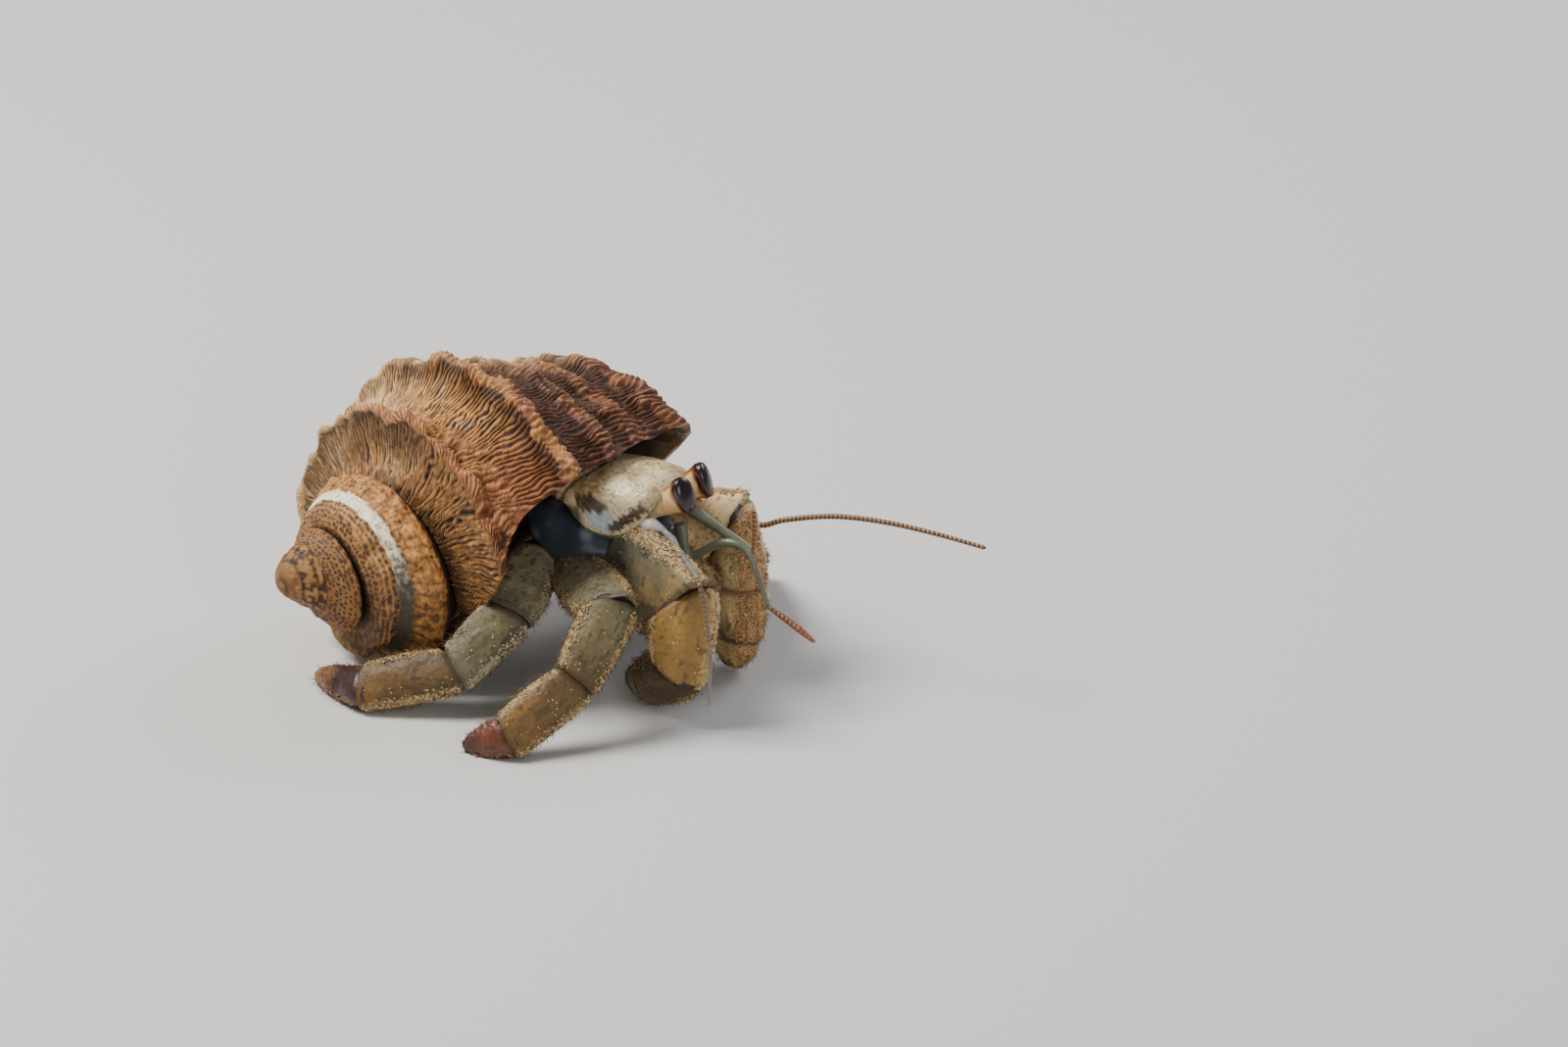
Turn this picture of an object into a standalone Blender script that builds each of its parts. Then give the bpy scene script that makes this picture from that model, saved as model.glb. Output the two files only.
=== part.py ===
"""A land hermit crab walking in a worn rock-snail shell, life size, as a still museum model.

The crab faces +X, its left side is +Y and it stands on Z = 0.  Lengths are written in
millimetres in a layout frame; build_mesh() moves them to metres about ORIGIN.
"""
import math

import bmesh
import bpy
from mathutils import Vector

MM = 0.001
ORIGIN = Vector((-1.3, 1.3, 0.0))      # middle of the model's box, in the layout frame
MID = 1.5                              # Y of the crab's own middle plane
GAP = 0.3                              # space between neighbouring pieces

# ---- the shell: a right-handed spiral about an axis that points forward and to the left
APEX = Vector((-30.0, -19.5, 12.1))
AXIS = Vector((0.478, 0.878, 0.008)).normalized()
FORE = AXIS.cross(Vector((-0.310, 0.160, 0.937))).normalized()
UP = FORE.cross(AXIS)
WHORL_GROWTH = 2.355                   # size of a whorl over the one before it
LIP_ANGLE = 133.5                      # degrees from UP to FORE at the suture end of the lip
STEP = 10.0                            # degrees between growth lines
TURN = 36                              # growth lines in a full turn
SLANT = 6                              # growth lines that the lip leans back across a whorl
SPIRE_TURNS = 2.1                      # turns before the worn knob at the tip
# rows of a whorl at the lip: along the axis, radius, degrees that the lip leans back,
# how strongly the row is knobbed, and how much it flares out where it reaches the lip
WHORL_ROWS = (
    (13.5, 9.6, 0.0, 0.0, 0.00),
    (14.2, 13.8, 18.0, 0.0, 0.02),
    (15.6, 20.2, 38.0, 1.0, 0.03),
    (17.2, 20.0, 44.0, 0.6, 0.06),
    (19.8, 18.9, 50.0, 0.0, 0.14),
    (22.6, 21.2, 54.0, 0.0, 0.10),
    (25.0, 25.5, 56.0, 1.0, 0.04),
    (26.8, 25.6, 58.0, 1.0, 0.04),
    (28.2, 23.2, 60.0, 0.0, 0.05),
    (30.4, 22.7, 60.0, 0.0, 0.05),
)
BASE_ROWS = (
    (32.8, 22.6, 60.0, 0.0, 0.05),
    (34.8, 23.4, 60.0, 1.0, 0.07),
    (36.6, 22.6, 62.0, 0.6, 0.08),
    (39.6, 22.0, 64.0, 0.8, 0.10),
    (42.4, 21.2, 65.0, 0.0, 0.12),
    (46.0, 21.6, 66.0, 0.6, 0.12),
    (49.4, 18.8, 66.0, 0.0, 0.06),
    (50.6, 12.0, 66.0, 0.0, 0.00),
)
COLUMELLA_END = 43.4                   # where the base closes on the axis
KNOBS = 12                             # nodules round a whorl
KNOB_HEIGHT = 0.03                     # of the radius
HOLLOW_MIDDLE = (33.0, 13.3)           # middle of the hollow's section: along the axis, radius
HOLLOW_HALF = (14.5, 7.8)
HOLLOW_START = 190.0                   # where its places begin, by the suture
HOLLOW_LEAN = 35.0                     # how far it leans back, as the lip does
HOLLOW_SKEW = 0.85
CAVITY_ANGLES = (0, 12, 37, 62, 87, 112, 137, 162, 187, 212)
ABDOMEN_SIZE = 0.90                    # of the hollow
FLARE_ANGLE = 130.0                    # degrees from the suture over which the lip flares
KNOB_RINGS = ((0.9, 2.3), (-0.4, 1.7))  # the worn tip: along the axis, radius
KNOB_END = -1.0

# ---- body: stations along X as (x, middle height, half width, half height)
SHIELD = (
    (4.4, 21.6, 1.0, 0.5),
    (3.7, 21.1, 3.2, 1.0),
    (1.8, 20.5, 4.6, 2.1),
    (-1.2, 20.1, 5.1, 2.7),
    (-4.4, 19.8, 5.3, 2.7),
    (-7.2, 19.4, 4.8, 2.2),
    (-9.0, 18.9, 3.0, 1.2),
)
THORAX = (
    (3.6, 15.2, 2.0, 1.8),
    (1.4, 14.2, 3.6, 3.6),
    (-2.0, 13.6, 4.5, 4.4),
    (-5.6, 13.8, 4.7, 4.2),
    (-9.2, 14.4, 4.2, 3.6),
    (-12.0, 15.0, 2.6, 2.2),
)

# ---- colours: base colour, roughness
SHELL_BROWN = ((0.48, 0.25, 0.12), 0.75)
FLESH = ((0.42, 0.30, 0.26), 0.5)
SHIELD_TAN = ((0.55, 0.45, 0.30), 0.45)
BLUE_GREY = ((0.16, 0.20, 0.24), 0.4)
LIMB_OLIVE = ((0.30, 0.26, 0.16), 0.5)
TIP_BROWN = ((0.25, 0.10, 0.05), 0.4)
STALK_CREAM = ((0.68, 0.48, 0.33), 0.35)
CORNEA_BLACK = ((0.02, 0.015, 0.015), 0.1)
FEELER_GREEN = ((0.20, 0.24, 0.20), 0.4)
FEELER_BROWN = ((0.30, 0.15, 0.08), 0.5)


def material(name, look):
    """Principled material of one plain colour."""
    colour, roughness = look
    made = bpy.data.materials.new(name)
    made.use_nodes = True
    shader = made.node_tree.nodes["Principled BSDF"]
    shader.inputs["Base Color"].default_value = (*colour, 1.0)
    shader.inputs["Roughness"].default_value = roughness
    shader.inputs["Metallic"].default_value = 0.0
    return made


def build_mesh(name, points, faces, look):
    """One closed, outward-facing object from layout points; nothing reaches below the floor."""
    work = bmesh.new()
    verts = []
    for point in points:
        place = (point - ORIGIN) * MM
        place.z = max(place.z, 0.0)
        verts.append(work.verts.new(place))
    for face in faces:
        work.faces.new([verts[index] for index in face])
    bmesh.ops.recalc_face_normals(work, faces=work.faces)
    mesh = bpy.data.meshes.new(name)
    work.to_mesh(mesh)
    work.free()
    mesh.shade_smooth()
    mesh.set_sharp_from_angle(angle=math.radians(50))
    mesh.materials.append(material(name, look))
    made = bpy.data.objects.new(name, mesh)
    bpy.context.collection.objects.link(made)
    return made


def loft(name, rings, look):
    """Closed solid through rings of points, each end a fan about its middle."""
    sides = len(rings[0])
    points = [point for ring in rings for point in ring]
    faces = []
    for low in range(0, len(points) - sides, sides):
        for side in range(sides):
            after = (side + 1) % sides
            faces.append((low + side, low + after, low + sides + after, low + sides + side))
    for start, ring in ((0, rings[0]), (len(points) - sides, rings[-1])):
        middle = len(points)
        points.append(sum(ring, Vector()) / sides)
        for side in range(sides):
            faces.append((start + side, start + (side + 1) % sides, middle))
    return build_mesh(name, points, faces, look)


def oval(centre, first, second, half_first, half_second, sides, power=2.4):
    """Points of a superellipse about a centre."""
    points = []
    for side in range(sides):
        turn = 2.0 * math.pi * (side + 0.5) / sides
        across = math.copysign(abs(math.cos(turn)) ** (2.0 / power), math.cos(turn))
        deep = math.copysign(abs(math.sin(turn)) ** (2.0 / power), math.sin(turn))
        points.append(centre + first * (half_first * across) + second * (half_second * deep))
    return points


def keep_clear(target, neighbour, clearance=GAP + 0.1):
    """Take from the target its neighbour's shape, swollen by the clearance.

    The abdomen winds past itself, which the exact solver can't cut, so it is cut as a manifold.
    """
    mesh = neighbour.data.copy()
    work = bmesh.new()
    work.from_mesh(mesh)
    for vert, normal in [(vert, vert.normal.copy()) for vert in work.verts]:
        vert.co += normal * (clearance * MM)
    work.to_mesh(mesh)
    work.free()
    cutter = bpy.data.objects.new("cut_" + neighbour.name, mesh)
    cutter.hide_render = True
    cutter.display_type = "WIRE"
    bpy.context.collection.objects.link(cutter)
    boolean = target.modifiers.new("clear_of_" + neighbour.name, "BOOLEAN")
    boolean.operation = "DIFFERENCE"
    boolean.solver = "MANIFOLD" if target.name == "abdomen" else "EXACT"
    boolean.object = cutter


# ---------------------------------------------------------------- shell and abdomen
def spiral_point(along, radius, back):
    """Layout point of the shell's spiral, for a place at the lip carried back by degrees."""
    size = WHORL_GROWTH ** (-back / 360.0)
    angle = math.radians(LIP_ANGLE - back)
    out = UP * math.cos(angle) + FORE * math.sin(angle)
    return APEX + (AXIS * along + out * radius) * size


def growth_point(row, line):
    """Layout point where a row crosses a growth line, with the row's nodules."""
    along, radius, lean, nodule, flare = row
    back = lean + STEP * line
    wave = KNOB_HEIGHT * nodule * math.cos(math.radians(KNOBS * back))
    opening = flare * max(0.0, 1.0 - STEP * line / (FLARE_ANGLE - lean))
    return spiral_point(along, radius * (1.0 + wave + opening), back)


def hollow_section(size):
    """The hollow's oval section at the mouth, as (along, radius, lean) at the lip's size.

    It has as many places as the rim and runs the same way: down the outer lip and back up
    the whorl behind.
    """
    sides = len(WHORL_ROWS) + 2 * len(BASE_ROWS) + 2
    section = []
    for side in range(sides):
        turn = math.radians(HOLLOW_START - 360.0 * side / sides)
        along = HOLLOW_MIDDLE[0] + HOLLOW_HALF[0] * size * math.cos(turn)
        radius = HOLLOW_MIDDLE[1] + HOLLOW_HALF[1] * size * math.sin(turn)
        lean = HOLLOW_LEAN * (1.0 + HOLLOW_SKEW * math.cos(turn - math.radians(45.0)))
        section.append((along, radius, lean))
    return section


def shell():
    """The whole shell: one strip that winds onto itself, its base, its mouth and its hollow."""
    rows = len(WHORL_ROWS)
    lines = round(TURN * SPIRE_TURNS)
    under = TURN - SLANT               # growth line whose edge the lip's first row meets
    points = []
    faces = []

    def add(point):
        points.append(point)
        return len(points) - 1

    strip = [[add(growth_point(row, line)) for row in WHORL_ROWS] for line in range(lines + 1)]
    for line in range(under, lines + 1):
        strip[line].append(strip[line - under][0])
    base = []
    for line in range(under + 1):
        base.append([strip[line][rows - 1]] + [add(growth_point(row, line)) for row in BASE_ROWS])
    for table in (strip, base):
        for near, far in zip(table, table[1:]):
            for row in range(min(len(near), len(far)) - 1):
                faces.append((near[row], far[row], far[row + 1], near[row + 1]))
    pole = add(APEX + AXIS * COLUMELLA_END)
    for near, far in zip(base, base[1:]):
        faces.append((near[-1], far[-1], pole))

    # the worn knob that closes the spire
    rim = strip[lines] + [strip[line][0] for line in range(lines - under + 1, lines)]
    for along, radius in KNOB_RINGS:
        smaller = []
        for corner in rim:
            arm = points[corner] - APEX
            out = (arm - AXIS * arm.dot(AXIS)).normalized()
            smaller.append(add(APEX + AXIS * along + out * radius))
        for index in range(len(rim)):
            after = (index + 1) % len(rim)
            faces.append((rim[index], rim[after], smaller[after], smaller[index]))
        rim = smaller
    knob = add(APEX + AXIS * KNOB_END)
    for index, corner in enumerate(rim):
        faces.append((corner, rim[(index + 1) % len(rim)], knob))

    # the mouth's rim, and the hollow that runs back from it
    ring = strip[0][:rows] + base[0][1:] + [pole] + base[under][::-1]
    section = hollow_section(1.0)
    for back in CAVITY_ANGLES:
        inner = [add(spiral_point(along, radius, lean + back)) for along, radius, lean in section]
        for index in range(len(ring)):
            after = (index + 1) % len(ring)
            faces.append((ring[index], ring[after], inner[after], inner[index]))
        ring = inner
    end = add(sum((points[corner] for corner in ring), Vector()) / len(ring))
    for index, corner in enumerate(ring):
        faces.append((corner, ring[(index + 1) % len(ring)], end))
    return build_mesh("shell", points, faces, SHELL_BROWN)


def abdomen():
    """The soft abdomen that fills the shell's hollow."""
    section = hollow_section(ABDOMEN_SIZE)
    rings = []
    for back in CAVITY_ANGLES[1:-1]:
        rings.append([spiral_point(a, r, lean + back) for a, r, lean in section])
    return loft("abdomen", rings, FLESH)


# ---------------------------------------------------------------- limbs
def limb(names, joints, across, sizes, looks, sides=8, stations=5):
    """A jointed limb, parted by thin cuts on the planes that halve its bends.

    joints are the segments' ends, across is the direction of a segment's thinness and sizes
    holds, for each segment, (half thickness, half depth) at its start, middle and end.
    """
    joints = [Vector(joint) for joint in joints]
    ways = [(after - before).normalized() for before, after in zip(joints, joints[1:])]
    cuts = [ways[0]] + [(one + two).normalized() for one, two in zip(ways, ways[1:])] + [ways[-1]]
    last = len(names) - 1
    made = []
    for index, name in enumerate(names):
        way = ways[index]
        thin = (Vector(across) - way * way.dot(Vector(across))).normalized()
        deep = way.cross(thin)
        length = (joints[index + 1] - joints[index]).length
        rings = []
        for station in range(stations):
            part = station / (stations - 1)
            begin, middle, end = sizes[index]
            weights = ((1 - part) * (1 - 2 * part), 4 * part * (1 - part), part * (2 * part - 1))
            half_thin, half_deep = (
                sum(weight * size[axis] for weight, size in zip(weights, (begin, middle, end)))
                for axis in (0, 1)
            )
            centre = joints[index] + way * (length * part)
            ring = oval(centre, thin, deep, half_thin, half_deep, sides)
            cut_way = cuts[index] if part < 0.5 else cuts[index + 1]
            hold = abs(1.0 - 2.0 * part)
            shift = 0.0
            if part < 0.5 and index > 0:
                shift = GAP * 0.5 * hold
            if part > 0.5 and index < last:
                shift = -GAP * 0.5 * hold
            reach = 1.05 * max(half_thin, half_deep)
            slid = []
            for point in ring:
                slope = (point - centre).dot(cut_way) / way.dot(cut_way)
                arm = point - way * (slope * hold) - centre
                arm *= min(1.0, reach / arm.length)
                slid.append(centre + arm + way * (shift / way.dot(cut_way)))
            rings.append(slid)
        made.append(loft(name, rings, looks[index]))
    return made


def bent_tube(name, places, radii, look, sides=6, stations=14):
    """A feeler: a round tube on a smooth curve through places, tapering through the radii."""
    places = [Vector(place) for place in places]
    guide = [places[0] * 2 - places[1]] + places + [places[-1] * 2 - places[-2]]
    spans = len(places) - 1
    centres = []
    for station in range(stations):
        whole = station / (stations - 1) * spans
        span = min(int(whole), spans - 1)
        t = whole - span
        a, b, c, d = guide[span:span + 4]
        centres.append(0.5 * (2 * b + (c - a) * t + (2 * a - 5 * b + 4 * c - d) * t * t
                              + (3 * b - a - 3 * c + d) * t ** 3))
    rings = []
    side_way = Vector((0.0, 0.0, 1.0))
    for station, centre in enumerate(centres):
        before = centres[max(station - 1, 0)]
        after = centres[min(station + 1, stations - 1)]
        way = (after - before).normalized()
        side_way = (side_way - way * side_way.dot(way)).normalized()
        if side_way.length < 0.5:
            side_way = way.orthogonal().normalized()
        part = station / (stations - 1)
        radius = radii[0] + (radii[1] - radii[0]) * part
        rings.append(oval(centre, side_way, way.cross(side_way), radius, radius, sides, 2.0))
    return loft(name, rings, look)


WALKING_SIZES = (
    ((1.4, 2.2), (1.5, 3.2), (1.5, 2.7)),
    ((1.5, 2.7), (1.6, 2.7), (1.4, 2.3)),
    ((1.4, 2.3), (1.5, 2.6), (1.3, 2.3)),
    ((1.3, 2.1), (1.0, 1.7), (0.4, 0.6)),
)
WALKING_LOOKS = (LIMB_OLIVE, LIMB_OLIVE, LIMB_OLIVE, TIP_BROWN)
SEGMENTS = ("merus", "carpus", "propodus", "dactylus")
# each leg's joints from the body to its tip, and the direction of its thinness
WALKING_LEGS = {
    "leg2_right": (
        ((-7.0, -1.6, 11.6), (3.6, -12.0, 13.0), (2.2, -17.0, 6.6), (-2.1, -23.7, 2.2), (-6.8, -24.6, 0.5)),
        (-0.50, 0.75, -0.43),
    ),
    "leg3_right": (
        ((-10.8, -1.6, 12.0), (-8.6, -11.5, 9.5), (-12.1, -16.4, 4.7), (-20.7, -20.2, 2.4), (-28.2, -16.8, 1.0)),
        (-0.27, 0.77, -0.58),
    ),
    "leg2_left": (
        ((-7.0, 4.6, 11.6), (1.6, 13.6, 12.2), (2.2, 19.0, 6.2), (-1.6, 25.6, 2.2), (-6.0, 27.2, 0.5)),
        (0.55, -0.72, -0.40),
    ),
    "leg3_left": (
        ((-8.6, 4.6, 11.0), (-4.4, 14.6, 8.8), (-6.4, 20.4, 4.6), (-12.8, 25.4, 2.4), (-19.4, 25.6, 0.8)),
        (0.45, -0.70, -0.45),
    ),
}


def walking_legs():
    legs = []
    for prefix, (joints, across) in WALKING_LEGS.items():
        names = [f"{prefix}_{segment}" for segment in SEGMENTS]
        legs.append(limb(names, joints, across, WALKING_SIZES, WALKING_LOOKS))
    return legs


def small_legs():
    """The fourth pair, short limbs that brace the crab against its shell."""
    legs = []
    for side, joints in (
        ("right", ((-9.6, 0.6, 11.6), (-11.6, -2.4, 7.6), (-12.4, -6.8, 6.4))),
        ("left", ((-9.6, 3.2, 11.8), (-12.6, 7.4, 8.0), (-14.4, 11.4, 8.2))),
    ):
        names = (f"leg4_{side}_upper", f"leg4_{side}_lower")
        sizes = (((0.8, 1.0), (0.9, 1.2), (0.8, 1.0)), ((0.8, 1.0), (0.8, 1.1), (0.5, 0.6)))
        legs.append(limb(names, joints, (0.3, 0.0, 1.0), sizes, (LIMB_OLIVE, LIMB_OLIVE)))
    return legs


def chelipeds():
    """The claw-bearing legs: the right one is folded, the large left one stands on its fingers."""
    names = ("merus", "carpus", "palm", "finger")
    right = limb(
        ["cheliped_right_" + name for name in names],
        ((-1.5, -1.2, 12.6), (9.6, -7.2, 13.2), (9.2, -8.0, 5.6), (4.6, -6.3, 3.0), (1.8, -5.2, 2.4)),
        (0.3, -0.95, 0.1),
        (
            ((1.8, 3.6), (1.9, 4.7), (1.7, 3.6)),
            ((1.7, 3.6), (2.1, 3.2), (1.9, 3.0)),
            ((1.9, 3.0), (2.0, 2.6), (1.6, 2.2)),
            ((1.6, 2.0), (1.2, 1.5), (0.5, 0.6)),
        ),
        (LIMB_OLIVE,) * 4,
        sides=10,
    )
    left = limb(
        ["cheliped_left_" + name for name in names],
        ((0.0, 4.2, 13.6), (7.7, 7.7, 16.0), (9.0, 7.2, 9.4), (8.8, 6.6, 3.8), (8.3, 5.8, 0.5)),
        (0.55, 0.83, 0.0),
        (
            ((1.9, 2.6), (2.2, 3.3), (2.2, 3.0)),
            ((2.2, 3.0), (2.6, 3.4), (2.7, 3.7)),
            ((2.7, 3.7), (2.9, 4.0), (2.4, 3.2)),
            ((2.4, 3.2), (1.9, 2.3), (1.1, 1.2)),
        ),
        (LIMB_OLIVE,) * 4,
        sides=10,
    )
    return right, left


def paired(side, *places):
    """Places of the right side as they are, or carried to the left side."""
    if side == "right":
        return places
    return tuple((x, 2.0 * MID - y, z) for x, y, z in places)


def eyes(shield):
    """Flattened eyestalks, each with its dark eye at the end."""
    for side in ("right", "left"):
        joints = paired(side, (2.6, -0.4, 19.6), (5.2, -0.7, 21.3), (7.2, -0.7, 22.6))
        stalk, eye = limb(
            (f"eyestalk_{side}", f"eye_{side}"), joints, (-0.1, 1.0, 0.0),
            (((0.8, 1.0), (0.95, 1.4), (1.1, 1.7)), ((1.1, 1.8), (1.3, 1.8), (0.6, 1.1))),
            (STALK_CREAM, CORNEA_BLACK), sides=10,
        )
        keep_clear(stalk, shield)


def mouth_limbs(thorax, claws):
    """The outer pair of mouth limbs, hanging between the claws."""
    sizes = (((0.9, 1.2), (1.0, 1.5), (0.9, 1.1)), ((0.9, 1.1), (0.8, 1.0), (0.4, 0.5)))
    for side in ("right", "left"):
        joints = paired(side, (1.6, 0.1, 14.0), (6.6, 0.2, 10.2), (6.2, 0.4, 6.4))
        names = (f"maxilliped_{side}_upper", f"maxilliped_{side}_lower")
        upper, lower = limb(names, joints, (0.0, 1.0, 0.0), sizes, (FLESH, FLESH))
        keep_clear(upper, thorax)
        keep_clear(upper, claws[side])


# name, places from the head outward, radius at each end, rings, look
FEELERS = (
    ("antenna_right_stem", ((1.6, -2.0, 18.2), (4.9, -2.6, 18.0), (12.2, -9.4, 17.2)), (0.9, 0.45), 8, BLUE_GREY),
    ("antenna_right_lash", ((12.6, -9.8, 16.7), (13.6, -10.6, 14.6), (14.4, -11.0, 10.6), (14.4, -11.0, 6.2),
                            (13.6, -9.6, 3.4)), (0.38, 0.27), 10, FEELER_BROWN),
    ("antenna_left_stem", ((1.6, 5.0, 18.2), (2.6, 9.0, 18.0), (5.4, 11.6, 15.6)), (0.9, 0.45), 8, BLUE_GREY),
    ("antenna_left_lash", ((6.0, 11.8, 15.1), (7.9, 11.7, 14.0), (11.1, 11.4, 15.3), (16.7, 11.3, 16.9),
                           (22.5, 11.3, 17.5), (28.0, 11.6, 17.3), (34.0, 12.0, 16.7)), (0.38, 0.26), 20, FEELER_BROWN),
    ("antennule_right_stem", ((4.8, 0.5, 18.0), (5.8, 0.6, 14.6), (9.7, 0.9, 16.6), (12.1, 0.9, 16.4),
                              (14.8, 0.9, 10.6)), (0.7, 0.3), 13, FEELER_GREEN),
    ("antennule_right_lash", ((15.1, 0.9, 10.1), (20.2, 0.9, 7.7)), (0.3, 0.4), 3, FEELER_BROWN),
    ("antennule_left_stem", ((4.9, 2.5, 18.8), (8.0, 2.5, 17.4), (11.4, 2.5, 15.8)), (0.7, 0.35), 6, FEELER_GREEN),
    ("antennule_left_lash", ((12.3, 2.5, 15.2), (12.3, 2.5, 20.1)), (0.35, 0.4), 3, FEELER_BROWN),
)


def feelers(shield, claws):
    """Antennae, held sideways, and antennules, bent at an elbow, each with its lash."""
    for name, places, radii, stations, look in FEELERS:
        feeler = bent_tube(name, places, radii, look, stations=stations)
        if name in ("antenna_right_stem", "antenna_left_stem"):
            keep_clear(feeler, shield)
            keep_clear(feeler, claws[name.split("_")[1]])


def body_loft(name, stations, look, sides=12):
    """A body piece from stations across the middle plane."""
    rings = []
    for x, height, half_width, half_height in stations:
        centre = Vector((x, MID, height))
        rings.append(oval(centre, Vector((0, 1, 0)), Vector((0, 0, 1)), half_width, half_height, sides))
    return loft(name, rings, look)


def main():
    for old in list(bpy.data.objects):
        bpy.data.objects.remove(old)
    house = shell()
    belly = abdomen()
    shield = body_loft("shield", SHIELD, SHIELD_TAN)
    thorax = body_loft("thorax", THORAX, BLUE_GREY)
    keep_clear(thorax, shield)
    leg2_right, leg3_right, leg2_left, leg3_left = (leg[0] for leg in walking_legs())
    leg4_right, leg4_left = (leg[0] for leg in small_legs())
    claw_right, claw_left = (leg[0] for leg in chelipeds())
    claws = {"right": claw_right, "left": claw_left}
    for piece, neighbours in (
        (belly, (shield, thorax, leg3_right, leg3_left)),
        (claw_right, (thorax,)),
        (claw_left, (thorax,)),
        (leg2_right, (thorax, claw_right)),
        (leg2_left, (thorax, claw_left)),
        (leg3_right, (thorax, leg2_right, house)),
        (leg3_left, (thorax, leg2_left)),
        (leg4_right, (thorax, leg3_right)),
        (leg4_left, (thorax, leg3_left)),
    ):
        for neighbour in neighbours:
            keep_clear(piece, neighbour)
    eyes(shield)
    mouth_limbs(thorax, claws)
    feelers(shield, claws)


main()
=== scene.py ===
"""A land hermit crab in its borrowed rock-snail shell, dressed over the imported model.

Lengths are in millimetres in the crab's own layout, which crab_place() carries to metres.
"""
import math
from types import SimpleNamespace

import bpy
import numpy as np
from mathutils import Matrix, Vector


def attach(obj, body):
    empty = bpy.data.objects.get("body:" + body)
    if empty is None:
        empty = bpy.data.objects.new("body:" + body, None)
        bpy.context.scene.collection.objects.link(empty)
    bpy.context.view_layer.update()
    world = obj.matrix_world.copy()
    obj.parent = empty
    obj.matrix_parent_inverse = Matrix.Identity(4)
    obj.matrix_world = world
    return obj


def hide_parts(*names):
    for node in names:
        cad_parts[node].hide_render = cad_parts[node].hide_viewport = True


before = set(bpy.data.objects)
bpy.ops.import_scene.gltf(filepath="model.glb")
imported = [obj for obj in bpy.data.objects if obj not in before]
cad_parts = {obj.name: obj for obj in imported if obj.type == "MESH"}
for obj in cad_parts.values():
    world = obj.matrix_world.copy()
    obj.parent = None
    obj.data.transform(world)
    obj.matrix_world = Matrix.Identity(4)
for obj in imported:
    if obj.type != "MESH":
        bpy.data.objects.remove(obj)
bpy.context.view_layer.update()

# ---------------------------------------------------------------- camera
# A long lens looks down on the crab's right side from a little ahead.  The crab stands
# left of the middle, with room before it.
VIEW_AZIMUTH = math.radians(28.0)
VIEW_HEIGHT = math.radians(24.0)
VIEW_DISTANCE = 2.4
VIEW_WIDTH = 0.160
LOOK_AT = Vector((0.0134, 0.0081, 0.0159))

back = Vector((
    math.sin(VIEW_AZIMUTH) * math.cos(VIEW_HEIGHT),
    -math.cos(VIEW_AZIMUTH) * math.cos(VIEW_HEIGHT),
    math.sin(VIEW_HEIGHT),
))
right = Vector((math.cos(VIEW_AZIMUTH), math.sin(VIEW_AZIMUTH), 0.0))
camera = bpy.data.objects.new("camera", bpy.data.cameras.new("camera"))
camera.data.sensor_width = 36.0
camera.data.lens = 36.0 * VIEW_DISTANCE / VIEW_WIDTH
camera.data.clip_start = 0.05
camera.data.clip_end = 20.0
turn = Matrix((right, back.cross(right), back)).transposed().to_4x4()
camera.matrix_world = Matrix.Translation(LOOK_AT + back * VIEW_DISTANCE) @ turn
bpy.context.scene.collection.objects.link(camera)
bpy.context.scene.camera = camera

# ---------------------------------------------------------------- floor and light
# A pale matt board under the model, a broad soft lamp overhead, a weaker one at each side
# and a plain pale room.


def plain_material(name, colour, roughness):
    """Principled material of one even colour."""
    made = bpy.data.materials.new(name)
    made.use_nodes = True
    shader = made.node_tree.nodes["Principled BSDF"]
    shader.inputs["Base Color"].default_value = (*colour, 1.0)
    shader.inputs["Roughness"].default_value = roughness
    return made


floor_mesh = bpy.data.meshes.new("floor")
FLOOR_HALF = 3.0
floor_mesh.from_pydata(
    [(-FLOOR_HALF, -FLOOR_HALF, 0.0), (FLOOR_HALF, -FLOOR_HALF, 0.0),
     (FLOOR_HALF, FLOOR_HALF, 0.0), (-FLOOR_HALF, FLOOR_HALF, 0.0)],
    [], [(0, 1, 2, 3)],
)
floor_mesh.materials.append(plain_material("pale_board", (0.62, 0.61, 0.59), 0.9))
floor = bpy.data.objects.new("floor", floor_mesh)
bpy.context.scene.collection.objects.link(floor)


def soft_lamp(name, place, size, power, colour):
    """Square area light at a place, turned to face the crab."""
    data = bpy.data.lights.new(name, "AREA")
    data.shape = "SQUARE"
    data.size = size
    data.energy = power
    data.color = colour
    lamp = bpy.data.objects.new(name, data)
    lamp.location = place
    lamp.rotation_euler = (Vector((0.0, 0.0, 0.015)) - Vector(place)).to_track_quat("-Z", "Y").to_euler()
    bpy.context.scene.collection.objects.link(lamp)


soft_lamp("lamp_top", (-0.32, -0.12, 0.50), 0.28, 6.0, (1.0, 0.97, 0.92))
soft_lamp("lamp_front", (0.50, -0.45, 0.30), 0.35, 1.6, (1.0, 0.97, 0.93))
soft_lamp("lamp_rim", (0.20, 0.50, 0.40), 0.35, 2.0, (0.93, 0.96, 1.0))
room = bpy.data.worlds.new("pale_room")
room.use_nodes = True
room.node_tree.nodes["Background"].inputs["Color"].default_value = (0.80, 0.84, 0.90, 1.0)
room.node_tree.nodes["Background"].inputs["Strength"].default_value = 0.24
bpy.context.scene.world = room

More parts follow.
